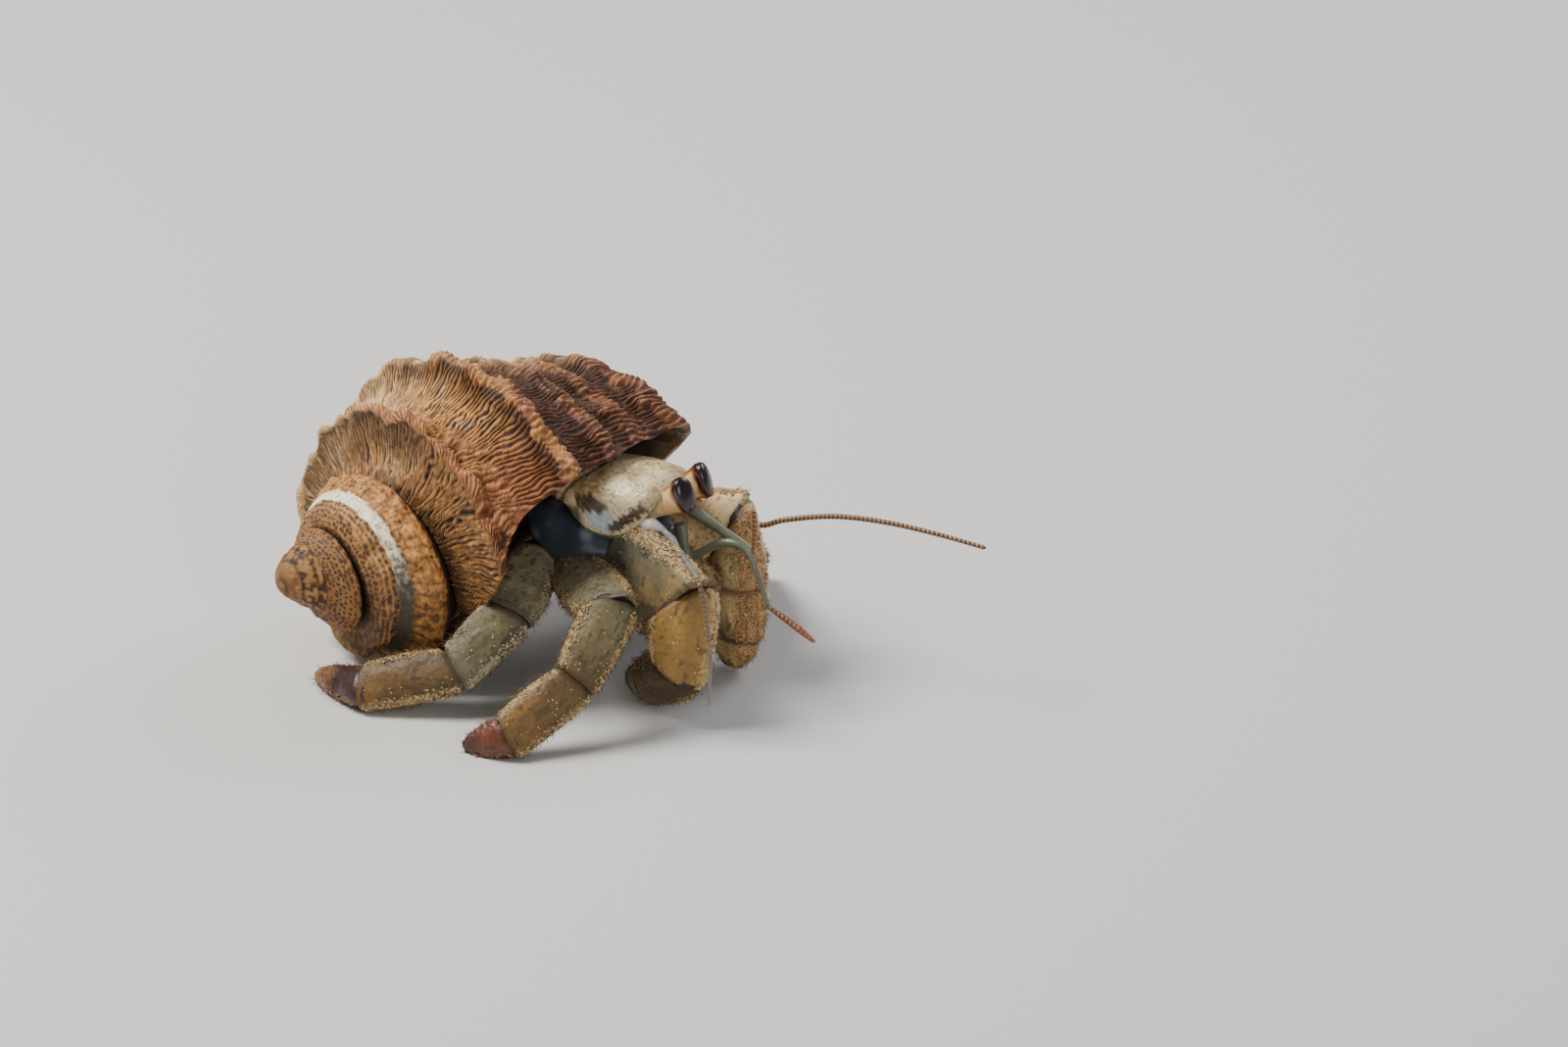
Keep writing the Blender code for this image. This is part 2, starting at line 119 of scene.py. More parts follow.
# ---------------------------------------------------------------- shell, its coiled wall
# The worn shell of a rock snail, limy and matt: one band that winds down the spire onto
# itself, with keels, knobs and fine frilled growth plates, then the base round the opening.
MM = 0.001
LAYOUT_MIDDLE = np.array((-1.3, 1.3, 0.0))
APEX = np.array((-30.0, -19.5, 12.1))
AXIS = np.array((0.478, 0.878, 0.008))
AXIS = AXIS / np.linalg.norm(AXIS)
FORE = np.cross(AXIS, (-0.310, 0.160, 0.937))
FORE = FORE / np.linalg.norm(FORE)
UP = np.cross(FORE, AXIS)
WHORL_GROWTH = 2.355       # size of a whorl against the one a turn before it
LIP_ANGLE = 133.5          # degrees round the axis, from up towards fore, at which the lip stands
FLARE_ANGLE = 130.0        # degrees back at which the flare of the lip has died away
COLUMELLA_END = 43.4       # along the axis
WHORL_ROWS = 10            # of the rows below; they wind on to the tip, and the rest are the base
MOUTH_TURN = 300.0         # degrees back at which the base ends under the lip
SPIRE_END = 828.0          # degrees back at which the winding wall ends in the tip
# rows of the whorl at the lip: along the axis, radius, degrees that the lip leans back,
# how strongly the row is knobbed, how much it flares out where it reaches the lip, then
# along the axis and radius in the rounder whorls of the young shell
ROWS = np.array((
    (14.5, 10.4, 0.0, 0.0, 0.00, 14.5, 10.4), (15.8, 14.4, 18.0, 0.0, 0.02, 14.6, 15.0),
    (15.6, 20.2, 38.0, 0.9, 0.03, 16.8, 19.8), (17.2, 20.2, 44.0, 0.8, 0.06, 18.8, 21.8),
    (19.8, 18.9, 50.0, 0.2, 0.14, 20.4, 23.0), (22.6, 21.2, 54.0, 0.1, 0.10, 23.2, 25.2),
    (25.0, 25.5, 56.0, 0.9, 0.06, 26.4, 27.4), (26.8, 25.6, 58.0, 1.0, 0.06, 28.6, 28.6),
    (28.2, 23.2, 60.0, 0.3, 0.05, 30.4, 28.4), (30.4, 22.7, 60.0, 0.2, 0.05, 32.2, 26.6),
    (32.8, 22.6, 60.0, 0.2, 0.02, 32.8, 22.6), (34.8, 23.4, 60.0, 0.9, 0.00, 34.8, 23.4),
    (36.6, 22.4, 62.0, 0.5, 0.00, 36.6, 22.4), (39.6, 21.8, 64.0, 0.8, 0.01, 39.6, 21.8),
    (42.4, 21.0, 65.0, 0.3, 0.02, 42.4, 21.0), (46.0, 21.4, 66.0, 0.6, 0.02, 46.0, 21.4),
    (49.4, 18.6, 66.0, 0.0, 0.00, 49.4, 18.6), (50.6, 12.0, 66.0, 0.0, 0.00, 50.6, 12.0),
))
# degrees back over which the whorls grow round, and over which the earliest ones swell by a share
YOUNG_START, YOUNG_END = 300.0, 400.0
EARLY_START, EARLY_END, EARLY_SWELL = 560.0, 700.0, 0.20
# folds of the knobbed rows: how many to a turn, height as a share of the radius, and
# degrees by which they shift from row to row; they grow over the first degrees
FOLDS = ((7, 0.010, 60.0), (12, 0.016, -40.0), (19, 0.011, 110.0), (26, 0.009, -75.0))
FOLD_START = 12.0
# keels: the row numbers between which each knobbed roll stands
KEELS = ((2.0, 4.3), (5.9, 7.7), (10.3, 12.0), (12.7, 13.9), (14.5, 15.9))
# how far a keel leans over the ramp or the ramp sinks under it: height, row number, width
OVERHANGS = ((0.85, 2.5, 0.42), (0.3, 6.1, 0.25), (-0.6, 5.45, 0.35))
FIRST_RAMP_END = 2.0
PLATE_TURN = 1.55          # degrees from one fine growth plate to the next
RAMP_TURN = 1.85           # the same on the first, narrow ramp
PLATE_CREST = 0.62         # share of a plate at which it is highest
ROLL_TURN = 2.05           # degrees from one rib of a keel to the next
YOUNG_ROLL_TURN = 7.0      # the same on the young shell
PLATE_HEIGHT = 0.42
ROLL_HEIGHT = 0.36
LUMP_HEIGHT = 0.60
PIT_HEIGHT = 0.06
VALLEY_DEPTH = 0.75
# degrees back over which the young shell's look sets in, the wall's face is worn pale, and the
# colours and the shade beside the lip fade
YOUNG_TINT = (235.0, 330.0)
WORN_TINT = (102.0, 160.0)
LIP_TINT = (70.0, 108.0)
DUSK_TINT = (62.0, 88.0)
DOT_TURN, DOT_STEP = 4.6, 1.75   # from dot to dot: degrees, and millimetres at the lip's size
DOT_RADIUS = 0.43                # of a cell
# noises that bend and roughen the wall, as drift, ripple, patch, lump, knot and pits: seed,
# degrees to a cell, and cells to a row
WALL_NOISES = (
    (3, 5.0, 1.1), (4, 2.6, 3.6), (9, 10.0, 0.9), (5, 7.5, 1.1), (8, 3.1, 2.6), (6, 0.8, 9.0),
)


def colour_of(red, green, blue):
    """Linear colour from the eight-bit numbers by which a paint shade is usually written."""
    shade = np.array((red, green, blue)) / 255.0
    return np.where(shade <= 0.04045, shade / 12.92, ((shade + 0.055) / 1.055) ** 2.4)


OCHRE = colour_of(222, 158, 88)
CREAM = colour_of(246, 216, 160)
TAN = colour_of(186, 134, 74)
OLIVE_TAN = colour_of(200, 142, 84)
PINK_BROWN = colour_of(166, 98, 54)
RED_BROWN = colour_of(130, 66, 32)
PURPLE_BROWN = colour_of(96, 50, 40)
# DARK_GAP serves mostly as painted shade, in the gaps between growth plates and in creases, hollows,
# sutures and grooves
DARK_GAP = colour_of(26, 12, 6)
BAND_WHITE = colour_of(255, 240, 208)
BAND_DARK = colour_of(76, 56, 40)
KEEL_ORANGE = colour_of(200, 136, 62)
DOT_BROWN = colour_of(62, 32, 14)
RIB_CREAM = colour_of(236, 188, 124)
# darkens the ridges towards red-brown: towards the base this is their colour, beside the lip it is painted
# shade
REDDENING_AND_SHADE = np.array((0.40, 0.245, 0.17))
NUCLEUS = colour_of(134, 92, 46)


def crab_place(points):
    """Layout millimetres to metres of the model; nothing reaches below the floor."""
    moved = (np.asarray(points, float) - LAYOUT_MIDDLE) * MM
    moved[..., 2] = np.maximum(moved[..., 2], 0.0)
    return moved


def smooth_table(table, numbers):
    """Rows of a table at fractional row numbers.

    Each column is a cubic Hermite curve over the rows, spaced by the square root of the
    distance between them; a row's slope is the weighted mean of the slopes beside it.
    """
    table = np.asarray(table, float)
    step = np.maximum(np.linalg.norm(np.diff(table[:, :3], axis=0), axis=1), 1e-6) ** 0.5
    knots = np.concatenate(([0.0], np.cumsum(step)))
    slopes = np.diff(table, axis=0) / step[:, None]
    inner = (slopes[:-1] * step[1:, None] + slopes[1:] * step[:-1, None]) / (step[:-1] + step[1:])[:, None]
    slopes = np.concatenate((slopes[:1], inner, slopes[-1:]))
    numbers = np.clip(np.asarray(numbers, float), 0.0, len(table) - 1.0)
    low = np.minimum(numbers.astype(int), len(table) - 2)
    t = (numbers - low)[..., None]
    span = (knots[low + 1] - knots[low])[..., None]
    return ((2 * t ** 3 - 3 * t ** 2 + 1) * table[low] + (t ** 3 - 2 * t ** 2 + t) * span * slopes[low]
            + (3 * t ** 2 - 2 * t ** 3) * table[low + 1] + (t ** 3 - t ** 2) * span * slopes[low + 1])


def lattice_noise(places, seed):
    """Smooth noise from -1 to 1: seeded values on a lattice of unit cells, blended by smoothstep."""
    values = np.random.default_rng(seed).uniform(-1.0, 1.0, 4096)
    low = np.floor(places).astype(np.int64)
    t = places - low
    t = t * t * (3.0 - 2.0 * t)
    total = np.zeros(places.shape[:-1])
    steps = np.array((73856093, 19349663, 83492791))[:places.shape[-1]]
    for corner in np.ndindex(*(2,) * places.shape[-1]):
        at = (low + corner) * steps
        index = at[..., 0]
        for axis in range(1, places.shape[-1]):
            index = index ^ at[..., axis]
        weight = np.prod(np.where(np.array(corner) == 1, t, 1.0 - t), axis=-1)
        total += weight * values[index & 4095]
    return total


def ease(value, low, high):
    """Smoothstep: 0 below low, 1 above high."""
    t = np.clip((value - low) / (high - low), 0.0, 1.0)
    return t * t * (3.0 - 2.0 * t)


def mix(first, second, amount):
    """Colours blended by an amount at each place."""
    return first + (second - first) * np.asarray(amount)[..., None]


def noise_over(seed, *places):
    """Lattice noise over two or three coordinates, each of which is a number or an array."""
    return lattice_noise(np.stack(np.broadcast_arrays(*places), axis=-1), seed)


def unit(vectors):
    """Vectors divided by their lengths."""
    vectors = np.asarray(vectors, float)
    return vectors / np.maximum(np.linalg.norm(vectors, axis=-1, keepdims=True), 1e-9)


def grid_normals(grid, away, around=False):
    """Unit normals of a grid: the cross product of its two central differences.

    They are turned round together where most of them point against the ways given as away.
    """
    if around:
        grid = np.concatenate((grid, grid[:, :1]), axis=1)
    normals = unit(np.cross(np.gradient(grid, axis=0), np.gradient(grid, axis=1)))
    if around:
        normals = normals[:, :-1]
    return -normals if np.sum(normals * away) < 0.0 else normals


def mesh_object(name, points, faces, colours):
    """Smooth mesh of layout points and faces of one kind, its colours in the attribute "tint"."""
    mesh = bpy.data.meshes.new(name)
    mesh.vertices.add(len(points))
    mesh.vertices.foreach_set("co", crab_place(points).ravel())
    mesh.loops.add(faces.size)
    mesh.loops.foreach_set("vertex_index", np.ascontiguousarray(faces).ravel())
    mesh.polygons.add(len(faces))
    mesh.polygons.foreach_set("loop_start", np.arange(0, faces.size, faces.shape[1]))
    mesh.update(calc_edges=True)
    mesh.shade_smooth()
    shades = np.ones((len(points), 4))
    shades[:, :3] = np.clip(colours, 0.0, 1.0)
    tint = mesh.color_attributes.new("tint", "FLOAT_COLOR", "POINT")
    tint.data.foreach_set("color", shades.ravel())
    made = bpy.data.objects.new(name, mesh)
    bpy.context.scene.collection.objects.link(made)
    return made


def surface(name, grid, colours, around=False, outward=None):
    """Mesh object over a grid of layout points.

    around closes the second direction on itself.  outward is a point or grid of points that
    the faces turn away from.
    """
    rows, columns = grid.shape[:2]
    index = np.arange(rows * columns).reshape(rows, columns)
    if around:
        index = np.concatenate((index, index[:, :1]), axis=1)
    quads = np.stack((index[:-1, :-1], index[:-1, 1:], index[1:, 1:], index[1:, :-1]), axis=-1)
    quads = quads.reshape(-1, 4)
    flat = grid.reshape(-1, 3)
    if outward is not None:
        inside = np.broadcast_to(outward, grid.shape).reshape(-1, 3)
        corners = flat[quads]
        across = np.cross(corners[:, 2] - corners[:, 0], corners[:, 3] - corners[:, 1])
        if np.sum(across * (corners[:, 0] - inside[quads[:, 0]])) < 0.0:
            quads = quads[:, ::-1]
    return mesh_object(name, flat, quads, np.broadcast_to(colours, grid.shape).reshape(-1, 3))


def spiral_place(along, radius, turn_back):
    """Layout point of the shell's spiral, for a place at the lip carried back by degrees."""
    size = WHORL_GROWTH ** (-turn_back / 360.0)
    angle = np.radians(LIP_ANGLE - turn_back)
    out = UP * np.cos(angle)[..., None] + FORE * np.sin(angle)[..., None]
    return APEX + (AXIS * along[..., None] + out * radius[..., None]) * size[..., None]


def keel_share(row):
    """1 on the rolls of the keels and 0 between them: a steep first side and an eased last one."""
    return sum(
        ease(row, first - 0.15, first + 0.25) * (1.0 - ease(row, last - 0.5, last + 0.2))
        for first, last in KEELS
    )


def even_wave(places):
    """1 at whole numbers and 0 half-way between them, in straight lines."""
    return np.abs(2.0 * (places % 1.0) - 1.0)


def wall_marks(row, turn_back):
    """What the wall's form and colours follow, for row numbers and degrees back from the lip.

    plain is the swept profile with its folds and flare.  A growth plate is a saw tooth of the
    degrees and a keel's rib an even wave of them, both bent by the wall's noises.
    """
    columns = np.moveaxis(smooth_table(ROWS, row), -1, 0)
    along, radius, lean, nodule, flare, young_along, young_radius = columns
    back = lean + turn_back
    rounding = ease(back, YOUNG_START, YOUNG_END)
    along = along + (young_along - along) * rounding
    radius = radius + (young_radius - radius) * rounding
    radius = radius + EARLY_SWELL * young_radius * ease(back, EARLY_START, EARLY_END)
    fold = sum(height * np.cos(np.radians(count * back + shift * row)) for count, height, shift in FOLDS)
    knob = fold * nodule * np.minimum(turn_back / FOLD_START, 1.0)
    opening = flare * np.maximum(0.0, 1.0 - turn_back / (FLARE_ANGLE - lean))
    wall = SimpleNamespace(row=row, back=back)
    wall.plain = spiral_place(along, radius * (1.0 + knob + opening), back)
    wall.drift, wall.ripple, wall.patch, wall.lump, wall.knot, wall.pits = (
        noise_over(seed, back / degrees, row * share) for seed, degrees, share in WALL_NOISES
    )
    wall.young = ease(back, *YOUNG_TINT)
    wall.keel = keel_share(row + (0.30 * wall.knot + 0.25 * wall.lump) * ease(row, 0.8, 2.0))

    plates = back / np.where(row < FIRST_RAMP_END, RAMP_TURN, PLATE_TURN)
    plates = plates + 0.80 * wall.drift + 0.46 * wall.ripple + 0.10 * wall.pits
    tooth = plates - np.floor(plates)
    wall.plate = np.where(tooth < PLATE_CREST, tooth / PLATE_CREST, (1.0 - tooth) / (1.0 - PLATE_CREST))
    rib = even_wave(back / ROLL_TURN + 0.8 * wall.drift + 0.30 * wall.ripple) ** 1.8
    cross_rib = even_wave(row * 1.4 + 0.9 * wall.ripple + 0.6 * wall.drift) ** 5
    rib = np.maximum(rib, 0.65 * cross_rib * ease(wall.patch + wall.knot, -0.3, 0.5))
    young_turns = back / YOUNG_ROLL_TURN + 0.3 * wall.drift + 0.1 * wall.ripple
    young_rib = 0.5 + 0.5 * np.cos(2.0 * np.pi * young_turns)
    wall.rib = rib + (young_rib ** 0.5 - rib) * wall.young

    wall.worn = ease(back + 16.0 * wall.drift, *WORN_TINT)
    wall.worn = wall.worn * (0.5 + 0.5 * ease(row, 2.0, 2.6)) * ease(row, 0.7, 1.3)
    wall.near_lip = 1.0 - ease(back + 8.0 * wall.patch, *LIP_TINT)
    wall.dusk = 1.0 - ease(back + 6.0 * wall.patch, *DUSK_TINT)
    wall.valley = ease(row, 7.7, 8.5) * (1.0 - wall.keel) * (1.0 - ease(row, 15.9, 16.6))
    return wall


def wall_relief(wall):
    """Height of the relief along the plain wall's normals, at the size of the lip.

    Saw-toothed growth plates, thick rolls over the keels, lumps, hollows between the keels
    and fine grain are added up.  Keels overhang the ramps before them.
    """
    row, keel, young = wall.row, wall.keel, wall.young
    relief = PLATE_HEIGHT * (1.0 - 0.8 * keel) * (0.9 + 0.4 * wall.knot) * (1.0 - 0.5 * wall.worn)
    relief *= (wall.plate - 0.7) * (1.0 - 0.85 * young)
    relief += ROLL_HEIGHT * keel * (wall.rib - 0.6) * (1.0 - 0.4 * wall.worn) * (1.0 - 0.55 * young)
    lumps = (0.7 * wall.lump + 0.5 * wall.knot - 0.2) * (0.10 + 0.90 * keel)
    relief += LUMP_HEIGHT * lumps * (1.0 - 0.6 * young)
    overhang = sum(height * np.exp(-((row - middle) / width) ** 2) for height, middle, width in OVERHANGS)
    overhang -= 0.5 * ease(row, 1.2, 1.8) * (1.0 - ease(row, 1.9, 2.1))
    overhang -= VALLEY_DEPTH * wall.valley
    relief += overhang * (1.0 - young) * (0.8 + 0.5 * wall.lump)
    return relief + PIT_HEIGHT * wall.pits


def ramp_tint(wall, redness):
    """Colours between the keels: pale plates with painted shade in the gaps between them, redder towards
    the base, and painted shade under the keels, in the valley and beside the lip.
    """
    row = wall.row
    first_ramp = 1.0 - ease(row, 1.9, 2.15)
    ridge = mix(OCHRE, OLIVE_TAN, first_ramp)
    ridge = mix(ridge, CREAM, 0.7 * wall.worn + 0.3 * ease(wall.patch, 0.1, 0.8) * (1.0 - wall.near_lip))
    # the ridges darken towards the base, which is their colour, and beside the lip, which is painted shade
    redness_and_shade = np.maximum(0.9 * redness, 0.84 * wall.dusk * (1.0 - first_ramp))
    ridge = mix(ridge, ridge * REDDENING_AND_SHADE, redness_and_shade)
    # the gaps between the plates are painted with shade, paler where the wall is worn
    gap = mix(DARK_GAP, TAN * 0.45, 0.85 * wall.worn)
    gap = mix(gap, RED_BROWN * 0.6, 0.7 * wall.dusk * (1.0 - first_ramp))
    ramp = mix(gap, ridge, ease(wall.plate + 0.16 * wall.pits + 0.14 * wall.knot, 0.26, 0.92))
    # painted shade in the crease under the first keel, under the second keel and in the valley between
    # keels
    crease_shade = ease(row + 0.3 * wall.knot, 0.85, 1.75) * first_ramp * (1.0 - 0.85 * wall.near_lip)
    crease_shade = crease_shade + 0.9 * ease(row, 5.0, 5.75) * (1.0 - ease(row, 5.9, 6.1)) + 1.1 * wall.valley
    return mix(ramp, DARK_GAP, 0.72 * np.clip(crease_shade, 0.0, 1.0) * (1.0 - 0.7 * wall.worn))


def keel_tint(wall, redness):
    """Colours of the keels: brown with a net of cream ribs, ochre in patches, and painted shade in the
    hollows between the lumps.
    """
    patch, knot, lump, pits, rib, worn = wall.patch, wall.knot, wall.lump, wall.pits, wall.rib, wall.worn
    crest = mix(PINK_BROWN, PURPLE_BROWN, redness)
    crest = mix(RED_BROWN, crest, 0.3 + 0.7 * ease(patch + 0.6 * knot, -0.7, 0.4))
    crest = mix(crest, OCHRE, 0.62 * ease(-patch - 0.3 * lump, 0.0, 0.5) * (1.0 - 0.75 * redness))
    net = ease(rib + 0.25 * pits + 0.2 * knot, 0.42, 0.95) * ease(lump + 0.5 * patch, -0.9, 0.2)
    crest = mix(crest, mix(RIB_CREAM, TAN * 1.15, 0.9 * redness), (0.66 - 0.22 * wall.near_lip) * net)
    crest = crest * (0.62 + 0.38 * ease(rib + 0.2 * pits, 0.1, 0.8))[..., None]
    crest = mix(crest, CREAM * 0.9, 0.6 * worn)
    # painted shade in the hollows where the lumps sink
    return mix(crest, DARK_GAP, 0.75 * ease(-lump - 0.6 * knot, 0.30, 0.95) * (1.0 - 0.6 * worn))


def young_tint(wall):
    """Colours of the young shell: rows of dots, a pale band that darkens, and an orange keel.

    The dots stand one to a cell.  The cells follow the profile's own length and the degrees,
    every second row of them is set off by half a cell, and they grow towards the tip.
    """
    row, back, drift, ripple = wall.row, wall.back, wall.drift, wall.ripple
    fine = np.linspace(0.0, WHORL_ROWS - 1.0, 400)
    steps = np.linalg.norm(np.diff(smooth_table(ROWS, fine)[:, 5:7], axis=0), axis=1)
    arc = np.interp(row, fine, np.concatenate(([0.0], np.cumsum(steps))))
    coarser = 1.0 + 0.55 * ease(back, 520.0, 660.0)
    cell_row = arc / (DOT_STEP * coarser)
    cell_turn = back / (DOT_TURN * coarser) + 0.5 * (np.floor(cell_row) % 2) + 0.35 * drift
    off_turn, off_row, growth = (
        noise_over(seed, np.floor(cell_turn), np.floor(cell_row)) for seed in (11, 12, 13)
    )
    spread = np.hypot(
        0.95 * (cell_turn % 1.0 - 0.5) - 0.20 * off_turn, cell_row % 1.0 - 0.5 - 0.22 * off_row,
    )
    dots = ease(DOT_RADIUS + 0.12 * growth + 0.10 * ripple - spread, 0.0, 0.13)

    tint = mix(TAN * 0.8, OCHRE * 0.86, 0.5 + 0.5 * drift)
    tint = mix(tint, CREAM * 0.9, 0.50 * ease(row + 0.5 * ripple, 2.6, 3.6) * ease(back, 410.0, 450.0))
    # the gaps between the growth plates and the lines between the rows of dots are darkened with painted
    # shade
    between_rows = ease(-np.abs(cell_row % 1.0 - 0.5), -0.5, -0.42)
    tint = mix(tint, DARK_GAP, 0.15 * (1.0 - wall.plate) + 0.30 * between_rows)
    tint = mix(tint, DOT_BROWN, 0.93 * dots)
    pale = ease(row + 0.15 * ripple, 3.5, 3.7) * (1.0 - ease(row + 0.2 * ripple, 4.75, 4.95))
    pale = pale * (1.0 - ease(back, 500.0, 560.0))
    chalk = mix(BAND_DARK, BAND_WHITE, ease(wall.plate + 0.5 * ripple + 0.4 * wall.pits, -0.4, 0.2))
    chalk = mix(BAND_DARK * 0.5, chalk, 0.06 + 0.94 * ease(back + 14.0 * ripple, 376.0, 444.0))
    tint = mix(tint, chalk, pale)
    orange = mix(DOT_BROWN, KEEL_ORANGE, 0.38 + 0.62 * ease(wall.rib, 0.05, 0.7))
    orange = mix(orange, DOT_BROWN, 0.45 * dots + 0.5 * ease(-wall.knot - 0.5 * ripple, 0.2, 0.8))
    orange = mix(orange, CREAM, 0.14 * ease(wall.knot + 0.5 * wall.pits, 0.3, 0.9))
    tint = mix(tint, orange, ease(row, 4.85, 5.1) * (1.0 - ease(row, 8.4, 8.9)))
    first_whorls = mix(DOT_BROWN, NUCLEUS, 1.0 - 0.95 * dots)
    tint = mix(tint, first_whorls, 0.85 * ease(back, 540.0, 620.0))
    return mix(tint, DARK_GAP, 0.35 * ease(-back, -404.0, -372.0))


def whorl_grid(row_numbers, turns):
    """Wall points and tint for row numbers and for degrees back from the lip.

    The relief stands on the plain wall along its normals and shrinks with the spiral.
    """
    wall = wall_marks(*np.broadcast_arrays(row_numbers[None, :], turns[:, None]))
    row, back, young, ripple = wall.row, wall.back, wall.young, wall.ripple
    redness = ease(row + 1.2 * wall.patch, 5.2, 7.6)
    tint = mix(ramp_tint(wall, redness), keel_tint(wall, redness), ease(wall.keel, 0.3, 0.7))
    tint = mix(tint, young_tint(wall), young)
    # painted shade in the suture at the spire's lower rows and in the seam along each whorl's first rows
    suture_shade = 0.94 * ease(row + 0.25 * ripple, 7.7, 8.5) * ease(back, 300.0, 345.0)
    tint = mix(tint, DARK_GAP, suture_shade)
    old = 1.0 - young
    seam_shade = (0.5 + 0.44 * young) * ease(-row - 0.15 * ripple, -1.25 + 0.75 * old, -0.6 + 0.38 * old)
    tint = mix(tint, DARK_GAP, seam_shade)
    tint = tint * (1.0 + 0.26 * wall.pits)[..., None]

    spine = APEX + AXIS * ((wall.plain - APEX) @ AXIS)[..., None]
    rise = wall_relief(wall) * WHORL_GROWTH ** (-back / 360.0)
    return wall.plain + grid_normals(wall.plain, wall.plain - spine) * rise[..., None], tint


def row_steps(first, last, count):
    """Row numbers spaced evenly along the profile's own length."""
    fine = np.linspace(first, last, 2000)
    outline = smooth_table(ROWS, fine)[:, :2]
    length = np.concatenate(([0.0], np.cumsum(np.linalg.norm(np.diff(outline, axis=0), axis=1))))
    return np.interp(np.linspace(0.0, length[-1], count), length, fine)


def effect_group(name):
    """Shader group of fine grain: tint in, tint and height out.

    A fine noise darkens and lightens the tint, and small cells at random add dark specks.
    """
    group = bpy.data.node_groups.new(name, "ShaderNodeTree")
    for label, kind, value in (
        ("Tint", "NodeSocketColor", (0.5, 0.5, 0.5, 1.0)), ("Grain", "NodeSocketFloat", 2500.0),
        ("Contrast", "NodeSocketFloat", 0.4), ("Speck Scale", "NodeSocketFloat", 1800.0),
        ("Speck Size", "NodeSocketFloat", 0.18), ("Speck", "NodeSocketColor", (0.05, 0.03, 0.02, 1.0)),
    ):
        group.interface.new_socket(name=label, in_out="INPUT", socket_type=kind).default_value = value
    group.interface.new_socket(name="Tint", in_out="OUTPUT", socket_type="NodeSocketColor")
    group.interface.new_socket(name="Height", in_out="OUTPUT", socket_type="NodeSocketFloat")
    nodes = group.nodes
    link = group.links.new
    given = nodes.new("NodeGroupInput")
    put_out = nodes.new("NodeGroupOutput")
    place = nodes.new("ShaderNodeTexCoord")
    noise = nodes.new("ShaderNodeTexNoise")
    noise.inputs["Detail"].default_value = 4.0
    noise.inputs["Roughness"].default_value = 0.6
    link(place.outputs["Object"], noise.inputs["Vector"])
    link(given.outputs["Grain"], noise.inputs["Scale"])
    centred = nodes.new("ShaderNodeMath")
    centred.operation = "SUBTRACT"
    centred.inputs[1].default_value = 0.5
    link(noise.outputs["Fac"], centred.inputs[0])
    swing = nodes.new("ShaderNodeMath")
    swing.operation = "MULTIPLY_ADD"
    swing.inputs[2].default_value = 1.0
    link(centred.outputs[0], swing.inputs[0])
    link(given.outputs["Contrast"], swing.inputs[1])
    shaded = nodes.new("ShaderNodeVectorMath")
    shaded.operation = "SCALE"
    link(given.outputs["Tint"], shaded.inputs[0])
    link(swing.outputs[0], shaded.inputs["Scale"])
    cells = nodes.new("ShaderNodeTexVoronoi")
    link(place.outputs["Object"], cells.inputs["Vector"])
    link(given.outputs["Speck Scale"], cells.inputs["Scale"])
    near = nodes.new("ShaderNodeMath")
    near.operation = "LESS_THAN"
    link(cells.outputs["Distance"], near.inputs[0])
    link(given.outputs["Speck Size"], near.inputs[1])
    blend = nodes.new("ShaderNodeMix")
    blend.data_type = "RGBA"
    link(near.outputs[0], blend.inputs[0])
    link(shaded.outputs[0], blend.inputs[6])
    link(given.outputs["Speck"], blend.inputs[7])
    link(blend.outputs[2], put_out.inputs["Tint"])
    link(noise.outputs["Fac"], put_out.inputs["Height"])
    return group


GRAIN = effect_group("fine_grain")


def grained(name, roughness, grain=2500.0, contrast=0.5, speck_scale=1800.0, speck_size=0.0,
            speck=(0.05, 0.03, 0.02), bump=0.3, coat=0.0, depth=0.0001):
    """Material that takes the piece's own tint through the grain group, with a fine bump."""
    made = bpy.data.materials.new(name)
    made.use_nodes = True
    nodes = made.node_tree.nodes
    link = made.node_tree.links.new
    shader = nodes["Principled BSDF"]
    shader.inputs["Roughness"].default_value = roughness
    shader.inputs["Coat Weight"].default_value = coat
    shader.inputs["Coat Roughness"].default_value = 0.15
    tint = nodes.new("ShaderNodeAttribute")
    tint.attribute_name = "tint"
    effect = nodes.new("ShaderNodeGroup")
    effect.node_tree = GRAIN
    effect.inputs["Grain"].default_value = grain
    effect.inputs["Contrast"].default_value = contrast
    effect.inputs["Speck Scale"].default_value = speck_scale
    effect.inputs["Speck Size"].default_value = speck_size
    effect.inputs["Speck"].default_value = (*speck, 1.0)
    link(tint.outputs["Color"], effect.inputs["Tint"])
    link(effect.outputs["Tint"], shader.inputs["Base Color"])
    relief = nodes.new("ShaderNodeBump")
    relief.inputs["Strength"].default_value = bump
    relief.inputs["Distance"].default_value = depth
    link(effect.outputs["Height"], relief.inputs["Height"])
    link(relief.outputs["Normal"], shader.inputs["Normal"])
    return made


def seat_piece(piece, material, slot, *nodes):
    """The piece's material, its body and the plain nodes that it stands for; slot is not used."""
    piece.data.materials.append(material)
    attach(piece, "root")
    if nodes:
        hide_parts(*nodes)
    return piece


SHELL_LIME = grained("shell_lime", 0.72, grain=3200.0, contrast=0.55, speck_scale=1500.0, speck_size=0.10,
                     speck=(0.10, 0.05, 0.025), bump=0.45)

